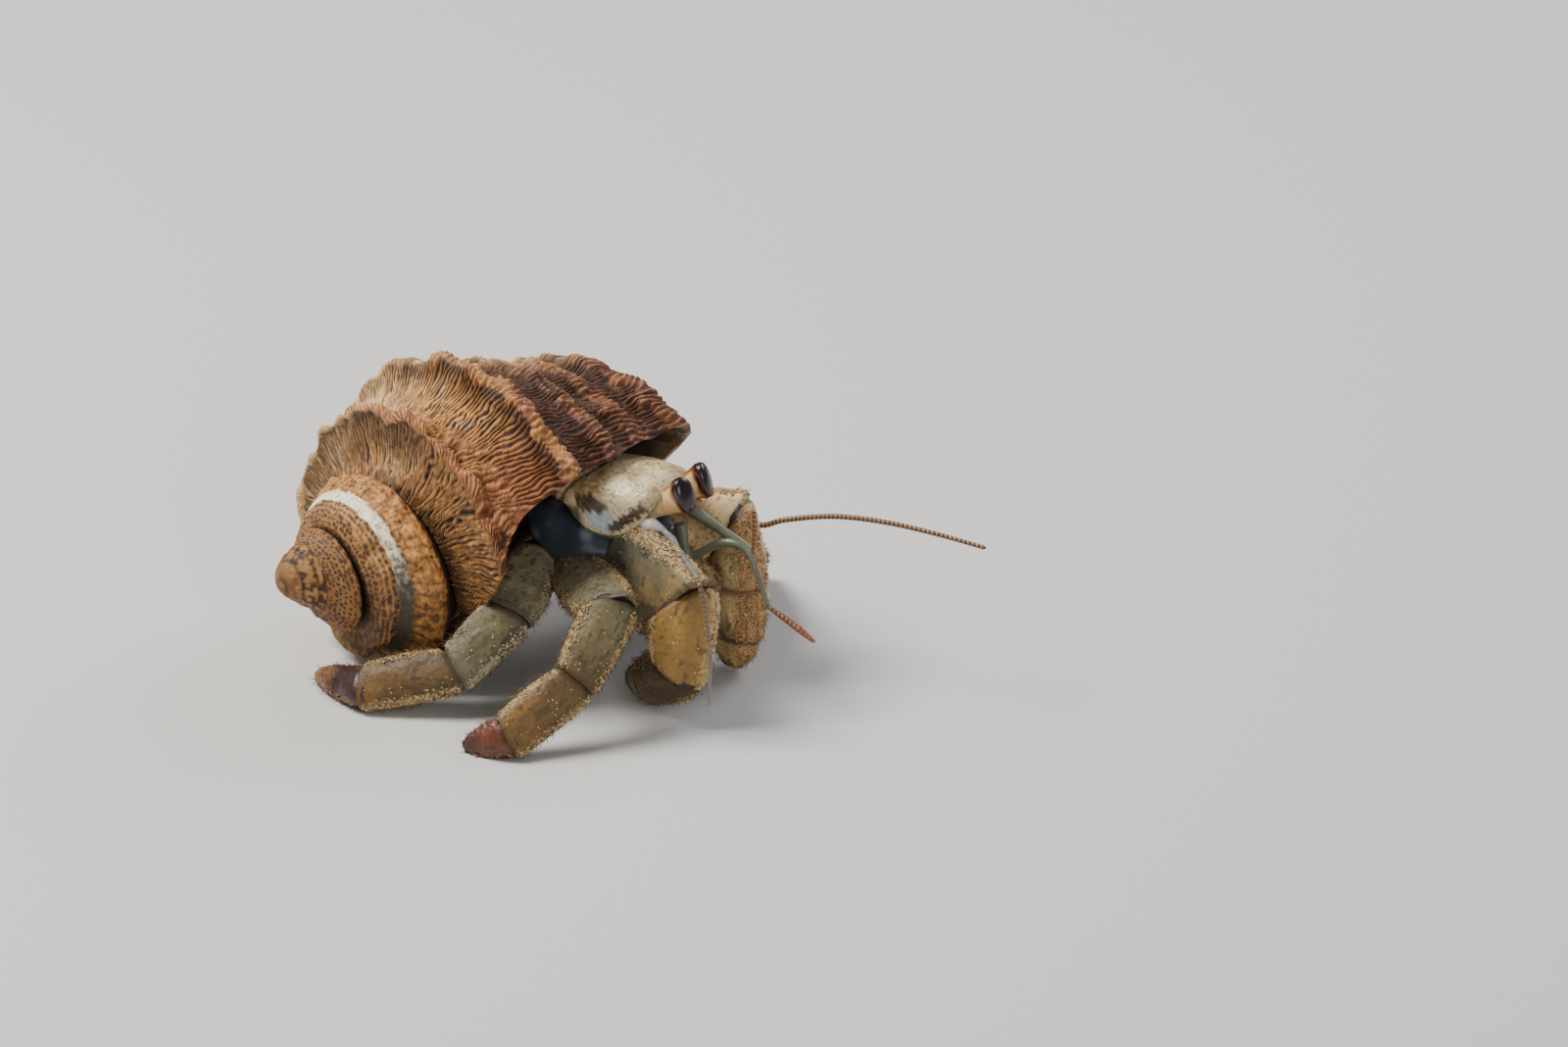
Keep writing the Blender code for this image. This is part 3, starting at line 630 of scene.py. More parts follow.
REAR_TURN = 112.0          # degrees back at which the shoulder and base are cut into two pieces
FAR_TURN = 190.0           # beyond it, on the hidden side, growth lines stand wider apart
FINE_STEP, COARSE_STEP = 0.19, 0.30
shoulder_rows = row_steps(0.0, WHORL_ROWS - 1.0, 104)
body_turns = np.linspace(0.0, REAR_TURN, round(REAR_TURN / FINE_STEP))
shoulder, shoulder_tint = whorl_grid(shoulder_rows, body_turns)
piece = surface("shell_body_whorl", shoulder, shoulder_tint, outward=APEX + AXIS * 22.0)
seat_piece(piece, SHELL_LIME, "shell", "shell")
rear_turns = np.concatenate((
    np.arange(REAR_TURN, FAR_TURN, FINE_STEP), np.arange(FAR_TURN, MOUTH_TURN, COARSE_STEP), (MOUTH_TURN,),
))
piece = surface("shell_rear_whorl", *whorl_grid(shoulder_rows, rear_turns), outward=APEX + AXIS * 22.0)
seat_piece(piece, SHELL_LIME, "shell")

# the base runs in to a closing fan at the end of the columella
base_rows = row_steps(WHORL_ROWS - 1.0, len(ROWS) - 1.0, 92)
base_turns = np.concatenate((
    np.arange(0.0, REAR_TURN, FINE_STEP), np.linspace(REAR_TURN, MOUTH_TURN, 300),
))
base, base_tint = whorl_grid(base_rows, base_turns)
pole = APEX + AXIS * COLUMELLA_END
closing = np.linspace(0.0, 1.0, 16)[1:]
fan = base[:, -1:] + (pole - base[:, -1:]) * closing[None, :, None]
base = np.concatenate((base, fan), axis=1)
base_tint = np.concatenate((base_tint, mix(base_tint[:, -1:], PINK_BROWN * 0.8, closing)), axis=1)
piece = surface("shell_base", base, base_tint, outward=APEX + AXIS * 38.0)
seat_piece(piece, SHELL_LIME, "shell")

# the spire's last row is drawn in under the whorl that follows it, coloured as painted shade
spire_turns = np.linspace(MOUTH_TURN - 1.0, SPIRE_END, 820)
spire, spire_tint = whorl_grid(row_steps(0.0, WHORL_ROWS - 1.0, 92), spire_turns)
first_along, first_radius = ROWS[0, :2]
join = spiral_place(
    np.full(len(spire_turns), first_along), np.full(len(spire_turns), first_radius - 0.3),
    np.maximum(spire_turns - MOUTH_TURN, 0.0),
)
spire = np.concatenate((spire, join[:, None]), axis=1)
spire_tint = np.concatenate((spire_tint, np.broadcast_to(DARK_GAP, (len(spire), 1, 3))), axis=1)
piece = surface("shell_spire", spire, spire_tint, outward=APEX + AXIS * 9.0)
seat_piece(piece, SHELL_LIME, "shell")

# ---------------------------------------------------------------- shell, its worn tip
# The first whorls are worn to a low brown knob, on which a faint groove winds between weak
# beads.  A skirt below the knob reaches into the spire and closes it.
TIP_PROFILE = np.array((
    (5.6, 3.5, 0.0), (4.3, 3.75, 0.0), (2.9, 3.6, 0.0), (2.2, 3.35, 0.0), (1.5, 3.0, 0.0), (0.8, 2.5, 0.0),
    (0.2, 2.05, 0.0), (-0.3, 1.6, 0.0), (-0.68, 1.05, 0.0), (-0.9, 0.5, 0.0), (-0.95, 0.0, 0.0),
))
GROOVE_RISE = 1.3          # along the axis in one turn of the groove
GROOVE_STARTS = (-1.05, 0.25, 1.55)
GROOVE_WIDTH, GROOVE_DEPTH = 0.13, 0.16
BEAD_HEIGHT = 0.08
turns = np.linspace(0.0, 2.0 * np.pi, 96, endpoint=False)
outline = smooth_table(TIP_PROFILE, np.linspace(0.0, len(TIP_PROFILE) - 1.0, 60))
along, radius = outline[:, :1], outline[:, 1:2]
wander = 0.35 * ease(along, -1.0, 2.5) * np.cos(turns - 1.2 * along)
outward_way = UP * np.cos(turns)[:, None] + FORE * np.sin(turns)[:, None]
tip = APEX + AXIS * along[..., None] + outward_way[None] * (radius * (1.0 + 0.15 * wander))[..., None]
tip_noise = lattice_noise(tip / 0.6, 11)
outer = ease(along + 0.25 * tip_noise, -0.2, 0.6)
beads = noise_over(17, turns * 9.0, along * 3.2)
winding = along - GROOVE_RISE * turns[None] / (2.0 * np.pi)
groove = sum(np.exp(-((winding - start) / GROOVE_WIDTH) ** 2) for start in GROOVE_STARTS)
tip_tint = mix(NUCLEUS, TAN, 0.35 * ease(tip_noise, 0.0, 0.8) + 0.4 * outer)
tip_tint = mix(tip_tint, DOT_BROWN, (0.25 + 0.75 * outer) * ease(beads + 0.2 * tip_noise, 0.0, 0.3))
# painted shade in the winding groove, and a little darker tone at random
tip_tint = mix(tip_tint, DARK_GAP, 0.6 * groove + 0.10 * (1.0 - tip_noise))
tip = tip - outward_way[None] * (GROOVE_DEPTH * groove - BEAD_HEIGHT * outer * beads)[..., None]
piece = surface("shell_tip", tip, tip_tint, around=True, outward=APEX + AXIS * 3.0)
seat_piece(piece, grained("shell_worn", 0.68, grain=2600.0, contrast=0.4, bump=0.15), "shell")

# ---------------------------------------------------------------- shell, its lip and hollow
# The opening's rim is a thin worn edge.  Behind it the wall grows thicker and the smooth
# hollow winds back behind the crab, painted darker and darker as shadow.
HOLLOW_MIDDLE = (33.0, 13.3)       # along the axis, radius
HOLLOW_HALF = (14.5, 7.8)
HOLLOW_START = 190.0               # degrees round the oval at which rim number 0 stands
HOLLOW_LEAN = 35.0                 # degrees that the oval leans back in the mean
HOLLOW_SKEW, HOLLOW_SKEW_TURN = 0.85, 45.0   # share by which the lean differs, most at this turn
HOLLOW_SIZE = 0.93                 # of the oval above, which keeps it inside the wall's relief
HOLLOW_END = 212.0                 # degrees back at which the hollow is closed
RIM_PLACES = 28.0                  # rim numbers in one round
# degrees back from the rim at which the inner face still follows the wall, drawn inwards by a
# share that is reached within a degree or two
LIP_TURNS = (0.2, 0.5, 0.9, 1.5, 2.5, 4.0, 6.0, 8.5, 12.0, 16.0, 20.0, 25.0, 30.0, 36.0, 42.0, 48.0)
LIP_SHRINK, LIP_EDGE = 0.075, 0.9
# painted shadow deep in the hollow, also laid over the abdomen's skin
HOLLOW_SHADOW = colour_of(32, 19, 14)


def hollow_ring(number, turn_back, size=1.0):
    """Points of the oval hollow for rim numbers from 0 to 28, carried back by degrees."""
    turn_round = np.radians(HOLLOW_START - 360.0 * number / RIM_PLACES)
    along = HOLLOW_MIDDLE[0] + HOLLOW_HALF[0] * size * np.cos(turn_round)
    radius = HOLLOW_MIDDLE[1] + HOLLOW_HALF[1] * size * np.sin(turn_round)
    lean = HOLLOW_LEAN * (1.0 + HOLLOW_SKEW * np.cos(turn_round - math.radians(HOLLOW_SKEW_TURN)))
    return spiral_place(along, radius, lean + turn_back)


def wall_ring(turn_back):
    """Ring of the outer wall round the hollow: shoulder, base and fan, then the older base below."""
    lines = turn_back + FINE_STEP * np.arange(2)
    above = whorl_grid(shoulder_rows, lines)[0][0, :-1]
    under = np.concatenate([whorl_grid(base_rows, start + lines)[0][:1] for start in (0.0, MOUTH_TURN)])
    last = under[:, -1:]
    under = np.concatenate((under, last + (pole - last) * closing[None, :, None]), axis=1)
    return np.concatenate((above, under[0], under[1, ::-1]))


under_rows = np.concatenate((base_rows, len(ROWS) - 1.0 + closing))
number = np.concatenate((shoulder_rows[:-1], under_rows, (2.0 * len(ROWS) - under_rows)[::-1]))
rings = [np.concatenate((shoulder[0, :-1], base[0], base[-1, ::-1]))]
edge_tint = np.concatenate((shoulder_tint[0, :-1], base_tint[0], base_tint[-1, ::-1]))
tints = [edge_tint]
for turn_back in (*LIP_TURNS, *np.linspace(LIP_TURNS[-1] + 4.0, HOLLOW_END, 36)):
    inner = hollow_ring(number, turn_back, HOLLOW_SIZE)
    if turn_back <= LIP_TURNS[-1]:
        wall = wall_ring(turn_back)
        wall = wall + (inner.mean(axis=0) - wall) * LIP_SHRINK * (1.0 - math.exp(-turn_back / LIP_EDGE))
        inner = wall + (inner - wall) * ease(turn_back, 3.0, LIP_TURNS[-1])
    rings.append(inner)
    worn_lip = mix(RED_BROWN * 0.45, TAN * 0.6, 0.5 + 0.5 * lattice_noise(inner / 0.7, 15))
    ring_tint = mix(edge_tint, worn_lip, ease(turn_back, 0.0, 2.5))
    # further in, the lining fades into painted shadow
    tints.append(mix(ring_tint, HOLLOW_SHADOW, ease(turn_back, 1.5, 14.0)))
rings.append(np.broadcast_to(rings[-1].mean(axis=0), rings[0].shape))
tints.append(np.broadcast_to(HOLLOW_SHADOW, edge_tint.shape))
mouth = np.array(rings)
piece = surface("shell_hollow", mouth, np.array(tints), around=True)
# its faces look in to the middle of the hollow
first, second = mouth[9:11]
facing = np.cross(second - first, np.roll(first, -1, axis=0) - first)
if np.sum(facing * (first.mean(axis=0) - first)) > 0.0:
    piece.data.flip_normals()
seat_piece(piece, grained("shell_lining", 0.45, grain=900.0, contrast=0.25, bump=0.1), "shell")

# ---------------------------------------------------------------- limbs, their hard skin
# Each limb is a row of horny tubes with a flat oval section, widest at its margins, which
# meet at mitred joints.  Pale granules crowd the margins, and bristles stand between them.
JOINT_GAP = 0.06                   # millimetres between two segments at their mitre
SECTION_EXPONENT = 2.0 / 2.15
COLLAR_LENGTH = 0.35
TIP_PART = 0.75                    # part of the last segment from which its tip rounds off
MITRE_REACH = 1.05                 # of the section's half size, which a mitre's corner keeps to
# rings that close a segment: share of the end ring's size, and how far back along the limb it
# is set.  A neck reaches out of the near end into the segment before, and the far end is hollow.
NECK = ((0.93, 0.12), (0.84, 0.5), (0.78, 0.9), (0.0, 0.95))
SOCKET = ((0.9, 0.02), (0.8, 0.35), (0.0, 0.5))
OLIVE = colour_of(98, 90, 66)
# the meri's olive, painted paler than their own colour as light where the shell shades them
OLIVE_LIT = colour_of(136, 126, 98)
BLUE_OLIVE = colour_of(92, 92, 76)
SAND_OLIVE = colour_of(124, 104, 66)
MARGIN_TAN = colour_of(176, 148, 98)
MARGIN_PALE = colour_of(164, 158, 132)
LEG_OCHRE = colour_of(116, 82, 28)
LEG_BROWN = colour_of(92, 68, 30)
CLAW_OCHRE = colour_of(150, 114, 52)
TIP_RED = colour_of(96, 50, 26)
TIP_GOLD = colour_of(124, 80, 36)
TIP_PURPLE = colour_of(52, 22, 24)
CLAW_CREAM = colour_of(214, 188, 138)
CLAW_TAN = colour_of(206, 172, 122)
CLAW_ORANGE = colour_of(186, 134, 80)
CLAW_OLIVE = colour_of(104, 94, 60)
MOUTH_BROWN = colour_of(120, 92, 66)
GROOVE_DARK = colour_of(34, 20, 12)
JOINT_SKIN = colour_of(48, 30, 20)
# sizes: half thickness and half depth of each segment at its near end, middle and far end
WALKING_SIZES = (
    ((1.4, 2.2), (1.5, 3.2), (1.5, 2.7)), ((1.5, 2.7), (1.6, 2.7), (1.4, 2.3)),
    ((1.4, 2.3), (1.5, 2.6), (1.3, 2.3)), ((1.3, 2.1), (1.0, 1.7), (0.4, 0.6)),
)
RIGHT_CLAW_SIZES = (
    ((1.8, 4.6), (2.1, 5.3), (1.7, 3.5)), ((1.7, 3.4), (2.2, 3.5), (1.8, 2.7)),
    ((2.0, 3.0), (2.1, 2.9), (1.7, 2.3)), ((1.6, 2.1), (1.2, 1.6), (0.5, 0.6)),
)
LEFT_CLAW_SIZES = (
    ((1.9, 2.6), (2.3, 3.8), (2.1, 3.4)), ((2.1, 3.4), (2.6, 3.7), (2.6, 3.2)),
    ((2.6, 3.2), (2.8, 3.4), (2.3, 2.9)), ((2.3, 2.9), (1.9, 2.4), (1.0, 1.1)),
)
SMALL_SIZES = (((0.8, 1.0), (0.9, 1.2), (0.8, 1.0)), ((0.8, 1.0), (0.8, 1.1), (0.5, 0.6)))
MOUTH_SIZES = (((0.9, 1.2), (1.3, 2.1), (1.2, 1.7)), ((1.2, 1.7), (0.9, 1.2), (0.4, 0.5)))
# colours of each segment's near end, far end and margins, and its share of granules and bristles
LEG2_LOOKS = (
    (OLIVE_LIT, OLIVE, MARGIN_TAN, 0.8, 1.0), (CLAW_OLIVE, LEG_BROWN, MARGIN_TAN, 1.0, 1.0),
    (LEG_BROWN, LEG_OCHRE, MARGIN_TAN, 0.9, 0.8), (TIP_RED, TIP_PURPLE, TIP_RED, 0.3, 0.6),
)
LEG3_LOOKS = (
    (OLIVE_LIT, OLIVE_LIT, MARGIN_PALE, 0.9, 0.5), (CLAW_OLIVE * 0.8, OLIVE, MARGIN_PALE, 0.9, 0.8),
    (LEG_BROWN * 0.9, LEG_OCHRE, MARGIN_TAN, 0.9, 1.0), (TIP_PURPLE, TIP_GOLD, TIP_GOLD, 0.3, 0.6),
)
RIGHT_CLAW_LOOKS = (
    (BLUE_OLIVE, SAND_OLIVE, CLAW_TAN, 0.8, 1.0), (CLAW_OCHRE, CLAW_OCHRE * 0.8, CLAW_TAN, 0.8, 0.6),
    (LEG_BROWN * 0.5, LEG_BROWN * 0.7, LEG_OCHRE, 0.7, 0.8), (OLIVE, TIP_PURPLE, LEG_BROWN, 0.3, 0.6),
)
LEFT_CLAW_LOOKS = (
    (CLAW_TAN, CLAW_CREAM, CLAW_ORANGE, 1.3, 0.3), (CLAW_CREAM, CLAW_CREAM * 0.9, CLAW_ORANGE, 1.3, 0.4),
    (CLAW_TAN, CLAW_OLIVE, CLAW_ORANGE, 0.9, 0.8), (CLAW_TAN * 0.8, CLAW_OLIVE, CLAW_ORANGE, 0.5, 0.8),
)
SMALL_LOOKS = ((OLIVE, OLIVE, MARGIN_TAN, 0.4, 0.3), (OLIVE, LEG_BROWN, MARGIN_TAN, 0.6, 0.5))
MOUTH_LOOKS = (
    (MOUTH_BROWN, MOUTH_BROWN, MARGIN_TAN, 0.2, 1.0), (MOUTH_BROWN, LEG_BROWN, MARGIN_TAN, 0.2, 1.6),
)
SMALL_ACROSS = (0.3, 0.0, 1.0)
MOUTH_ACROSS = (0.0, 1.0, 0.0)
LEG_NAMES = ("merus", "carpus", "propodus", "dactylus")
CLAW_NAMES = ("merus", "carpus", "palm", "finger")
SMALL_NAMES = ("upper", "lower")
# limb: joints, direction of its thinness, sizes, looks and names of its segments
LIMBS = {
    "leg2_right": (
        ((-7.0, -1.6, 11.6), (3.6, -12.0, 13.0), (2.2, -17.0, 6.6), (-2.1, -23.7, 2.2), (-6.8, -24.6, 0.5)),
        (-0.50, 0.75, -0.43), WALKING_SIZES, LEG2_LOOKS, LEG_NAMES,
    ),
    "leg3_right": (
        ((-10.8, -1.6, 12.0), (-8.6, -11.5, 9.5), (-12.1, -16.4, 4.7), (-20.7, -20.2, 2.4),
         (-28.2, -16.8, 1.0)),
        (-0.27, 0.77, -0.58), WALKING_SIZES, LEG3_LOOKS, LEG_NAMES,
    ),
    "leg2_left": (
        ((-7.0, 4.6, 11.6), (1.6, 13.6, 12.2), (2.2, 19.0, 6.2), (-1.6, 25.6, 2.2), (-6.0, 27.2, 0.5)),
        (0.55, -0.72, -0.40), WALKING_SIZES, LEG2_LOOKS, LEG_NAMES,
    ),
    "leg3_left": (
        ((-8.6, 4.6, 11.0), (-4.4, 14.6, 8.8), (-6.4, 20.4, 4.6), (-12.8, 25.4, 2.4), (-19.4, 25.6, 0.8)),
        (0.45, -0.70, -0.45), WALKING_SIZES, LEG3_LOOKS, LEG_NAMES,
    ),
    "cheliped_right": (
        ((-1.5, -1.2, 12.6), (9.6, -7.2, 13.2), (9.2, -8.0, 5.6), (4.6, -6.3, 3.0), (1.8, -5.2, 2.4)),
        (0.3, -0.95, 0.1), RIGHT_CLAW_SIZES, RIGHT_CLAW_LOOKS, CLAW_NAMES,
    ),
    "cheliped_left": (
        ((0.0, 4.2, 13.6), (7.1, 7.4, 15.8), (8.4, 6.9, 9.4), (8.3, 6.3, 3.8), (8.1, 5.7, 0.5)),
        (0.55, 0.83, 0.0), LEFT_CLAW_SIZES, LEFT_CLAW_LOOKS, CLAW_NAMES,
    ),
    "leg4_right": (
        ((-9.6, 0.6, 11.6), (-11.6, -2.4, 7.6), (-12.4, -6.8, 6.4)),
        SMALL_ACROSS, SMALL_SIZES, SMALL_LOOKS, SMALL_NAMES,
    ),
    "leg4_left": (
        ((-9.6, 3.2, 11.8), (-12.6, 7.4, 8.0), (-14.4, 11.4, 8.2)),
        SMALL_ACROSS, SMALL_SIZES, SMALL_LOOKS, SMALL_NAMES,
    ),
    "maxilliped_right": (
        ((1.6, 0.1, 14.0), (6.6, 0.2, 10.2), (6.2, 0.4, 6.4)),
        MOUTH_ACROSS, MOUTH_SIZES, MOUTH_LOOKS, SMALL_NAMES,
    ),
    "maxilliped_left": (
        ((1.6, 2.9, 14.0), (6.6, 2.8, 10.2), (6.2, 2.6, 6.4)),
        MOUTH_ACROSS, MOUTH_SIZES, MOUTH_LOOKS, SMALL_NAMES,
    ),
}


def superellipse(turns, exponent):
    """Cosine and sine of the turns, each with its size raised to an exponent."""
    cosine, sine = np.cos(turns), np.sin(turns)
    return np.sign(cosine) * np.abs(cosine) ** exponent, np.sign(sine) * np.abs(sine) ** exponent


def segment_frame(joints, across, index):
    """A segment's start, way, thin and deep directions, length and the two mitre planes."""
    joints = np.asarray(joints, float)
    ways = unit(np.diff(joints, axis=0))
    cuts = np.concatenate((ways[:1], unit(ways[1:] + ways[:-1]), ways[-1:]))
    way = ways[index]
    thin = unit(np.asarray(across) - way * np.dot(way, across))
    length = np.linalg.norm(joints[index + 1] - joints[index])
    return joints[index], way, thin, np.cross(way, thin), length, cuts[index], cuts[index + 1]


def segment_points(limb, index, part, turn_round):
    """Surface points of a limb's segment, for parts of its length and turns round it.

    The section is a superellipse whose half axes run through three sizes as a parabola.
    Towards each end its points slide along the segment on to the plane of the mitre.
    """
    joints, across, sizes = limb[:3]
    start, way, thin, deep, length, near_cut, far_cut = segment_frame(joints, across, index)
    last = len(joints) - 2
    part, turn_round = np.broadcast_arrays(part, turn_round)
    weights = np.stack(((1 - part) * (1 - 2 * part), 4 * part * (1 - part), part * (2 * part - 1)), axis=-1)
    halves = weights @ np.asarray(sizes[index])
    from_end = np.minimum(part, 1.0 - part) * length
    rounding = np.where(part < 0.5, 0.10, 0.04) if index > 0 else 0.04
    collar = 1.0 - rounding * np.exp(-(from_end / COLLAR_LENGTH) ** 2)
    collar = collar + np.where(part < 0.5, 0.0, 0.05) * np.exp(-((from_end - 0.5) / 0.5) ** 2)
    if index == last:
        tip = np.clip((part - TIP_PART) / (1.0 - TIP_PART), 0.0, 1.0)
        collar = np.where(part > 0.5, np.sqrt(np.maximum(1.0 - tip ** 2.5, 0.0)), collar)
    halves = halves * collar[..., None]
    flat, tall = superellipse(turn_round, SECTION_EXPONENT)
    arm = thin * (flat * halves[..., 0])[..., None] + deep * (tall * halves[..., 1])[..., None]
    hold = np.abs(1.0 - 2.0 * part)
    cut = np.where((part < 0.5)[..., None], near_cut, far_cut)
    along = np.sum(cut * way, axis=-1)
    slope = np.sum(arm * cut, axis=-1) / along
    arm = arm - way * (slope * hold)[..., None]
    reach = MITRE_REACH * halves.max(axis=-1)
    arm = arm * np.minimum(1.0, reach / np.maximum(np.linalg.norm(arm, axis=-1), 1e-9))[..., None]
    shift = np.where(part < 0.5, 1.0 if index > 0 else 0.0, -1.0 if index < last else 0.0)
    shift = shift * JOINT_GAP * 0.5 * hold / along
    return start + way * (length * part + shift)[..., None] + arm


def margin_share(turn_round):
    """How near a turn round a segment is to either of its margins: 0 on the faces, 1 there."""
    return ease(np.abs(np.sin(turn_round)) ** 0.8, 0.66, 0.98)


def tube(name, grid, colours):
    """Mesh object over a grid whose rows are rings round a common line."""
    return surface(name, grid, colours, around=True, outward=grid.mean(axis=1, keepdims=True))


def set_back(ring, way, steps):
    """Copies of a ring, each shrunk round its middle and moved back against the way, by the steps."""
    middle = ring.mean(axis=0)
    return [middle + (ring - middle) * scale - way * sink for scale, sink in steps]


def segment_surface(name, limb, index, count_round, count_along, seed):
    """Mesh of a segment with a finely uneven face, closed by its neck and its hollow far end.

    Its colour runs from the near to the far one, with tinted margins, streaks and short dark
    dashes, and darkens at the joints.
    """
    near, far, margin = limb[3][index][:3]
    way, _, _, length = segment_frame(limb[0], limb[1], index)[1:5]
    part = np.linspace(0.0, 1.0, count_along)[:, None]
    turn_round = np.linspace(0.0, 2.0 * np.pi, count_round, endpoint=False)[None, :]
    plain = segment_points(limb, index, part, turn_round)
    normals = grid_normals(plain, plain - plain.mean(axis=1, keepdims=True), around=True)
    coarse = lattice_noise(plain / 1.7, seed)
    fine = lattice_noise(plain / 0.32, seed + 1)
    streak = noise_over(seed + 2, turn_round * 3.0, part * 1.6)
    dashes = noise_over(seed + 5, turn_round * 7.0, part * length / 0.7)
    share = margin_share(turn_round)
    relief = 0.16 * coarse + (0.05 + 0.06 * share) * fine
    grid = plain + normals * (relief * np.sin(np.pi * part) ** 0.4)[..., None]
    tint = mix(near, far, ease(part + 0.18 * coarse, 0.35, 0.95))
    tint = mix(tint, margin * 0.8, 0.75 * ease(share + 0.25 * fine, 0.25, 1.0))
    tint = tint * (1.0 + 0.24 * coarse + 0.22 * streak + 0.14 * fine)[..., None]
    tint = mix(tint, GROOVE_DARK, 0.55 * ease(dashes + 0.3 * coarse, 0.45, 0.75))
    from_joint = part if index == len(limb[0]) - 2 else np.minimum(part, 1.0 - part)
    tint = mix(tint, GROOVE_DARK, 0.55 * np.exp(-(from_joint * 14.0) ** 2))
    grid = np.concatenate((set_back(grid[0], way, NECK)[::-1], grid, set_back(grid[-1], way, SOCKET)))
    tint = np.concatenate((
        np.broadcast_to(JOINT_SKIN, (len(NECK), count_round, 3)), tint,
        np.broadcast_to(GROOVE_DARK, (len(SOCKET), count_round, 3)),
    ))
    return tube(name, grid, tint)


def limb_slot(limb_name, segment=""):
    """Slot of a limb's material: a claw of its side, a mouth limb, a leg's tip or a leg."""
    if limb_name.startswith("cheliped"):
        return "claw_" + limb_name.split("_")[1]
    if limb_name.startswith("maxilliped"):
        return "mouth_limb"
    return "leg_tip" if segment == "dactylus" else "leg"


HORN = grained("horn", 0.58, grain=2600.0, contrast=0.6, speck_scale=2300.0, speck_size=0.16,
               speck=(0.045, 0.03, 0.02), bump=0.35)
HORN_TIP = grained("horn_tip", 0.42, grain=2200.0, contrast=0.5, bump=0.2, coat=0.06)
seed = 20
for limb_name, limb in LIMBS.items():
    count_round, count_along = (48, 32) if limb[4] is SMALL_NAMES else (112, 76)
    for index, segment in enumerate(limb[4]):
        node = f"{limb_name}_{segment}"
        piece = segment_surface(node + "_horn", limb, index, count_round, count_along, seed)
        horn = HORN_TIP if segment == "dactylus" else HORN
        seat_piece(piece, horn, limb_slot(limb_name, segment), node)
        seed += 3

# ---------------------------------------------------------------- limbs, granules and bristles
# Small round warts of pale lime stand crowded along the margins of the limbs, and short
# stiff hairs grow from the skin between them.
GRANULE_SIZE = (0.07, 0.18)
BRISTLE_LENGTH = (0.30, 0.95)
BRISTLE_WIDTH = 0.035
SPIKE_TURNS = (0.0, 2.0944, 4.1888)
GRANULE_CROWD = 54.0       # granules per square millimetre of a segment's length and half size
BRISTLE_CROWD = 20.0
PATCH_RADIUS = 0.0015      # of a shape's patch on the map
GOLDEN = (1.0 + 5.0 ** 0.5) / 2.0
ICOSAHEDRON = unit(np.array((
    (-1, GOLDEN, 0), (1, GOLDEN, 0), (-1, -GOLDEN, 0), (1, -GOLDEN, 0), (0, -1, GOLDEN), (0, 1, GOLDEN),
    (0, -1, -GOLDEN), (0, 1, -GOLDEN), (GOLDEN, 0, -1), (GOLDEN, 0, 1), (-GOLDEN, 0, -1), (-GOLDEN, 0, 1),
)))
ICOSAHEDRON_FACES = np.array((
    (0, 11, 5), (0, 5, 1), (0, 1, 7), (0, 7, 10), (0, 10, 11), (1, 5, 9), (5, 11, 4),
    (11, 10, 2), (10, 7, 6), (7, 1, 8), (3, 9, 4), (3, 4, 2), (3, 2, 6), (3, 6, 8),
    (3, 8, 9), (4, 9, 5), (2, 4, 11), (6, 2, 10), (8, 6, 7), (9, 8, 1),
))
SPIKE_FACES = np.array((
    (0, 2, 1), (0, 1, 4), (0, 4, 3), (1, 2, 5), (1, 5, 4), (2, 0, 3), (2, 3, 5),
    (3, 4, 6), (4, 5, 6), (5, 3, 6),
))


def coat_piece(name, corners, faces, tints, roots):
    """One mesh of many small closed shapes, with a map of a patch for each at its root.

    corners is (shapes, corners, 3), tints (shapes, corners, 3) and roots (shapes, 2).
    """
    count, per_shape = corners.shape[:2]
    faces = (faces[None] + np.arange(count)[:, None, None] * per_shape).reshape(-1, 3)
    made = mesh_object(name, corners.reshape(-1, 3), faces, tints.reshape(-1, 3))
    spread = np.arange(per_shape) / per_shape * 2.0 * np.pi
    patch = PATCH_RADIUS * np.stack((np.cos(spread), np.sin(spread)), axis=-1)
    corners_map = (roots[:, None] + patch[None]).reshape(-1, 2)
    made.data.uv_layers.new(name="OFBake").data.foreach_set("uv", corners_map[faces.ravel()].ravel())
    return made


def seats_on(limb, index, count, generator, crowding):
    """Random seats on a segment: points, normals, part, turn round and margin share.

    A seat is kept where a random number is under its margin share raised by the crowding.
    """
    part = generator.uniform(0.04, 0.96, count * 4)
    turn_round = generator.uniform(0.0, 2.0 * np.pi, count * 4)
    share = margin_share(turn_round)
    keep = generator.uniform(0.0, 1.0, count * 4) < crowding + (1.0 - crowding) * share
    part, turn_round, share = part[keep][:count], turn_round[keep][:count], share[keep][:count]
    here = segment_points(limb, index, part, turn_round)
    ahead = segment_points(limb, index, part + 0.01, turn_round) - here
    beside = segment_points(limb, index, part, turn_round + 0.02) - here
    normals = unit(np.cross(beside, ahead))
    start, way, _, _, length = segment_frame(limb[0], limb[1], index)[:5]
    spine = start + way * (part * length)[:, None]
    normals = normals * np.sign(np.sum(normals * (here - spine), axis=-1))[:, None]
    return here, normals, part, turn_round, share


def map_roots(index, part, turn_round):
    """Places on the coat's map: each segment has a quarter of its width, and the turn is the height."""
    return np.stack(((index + 0.9 * part) / 4.0, turn_round / (2.0 * np.pi)), axis=-1)


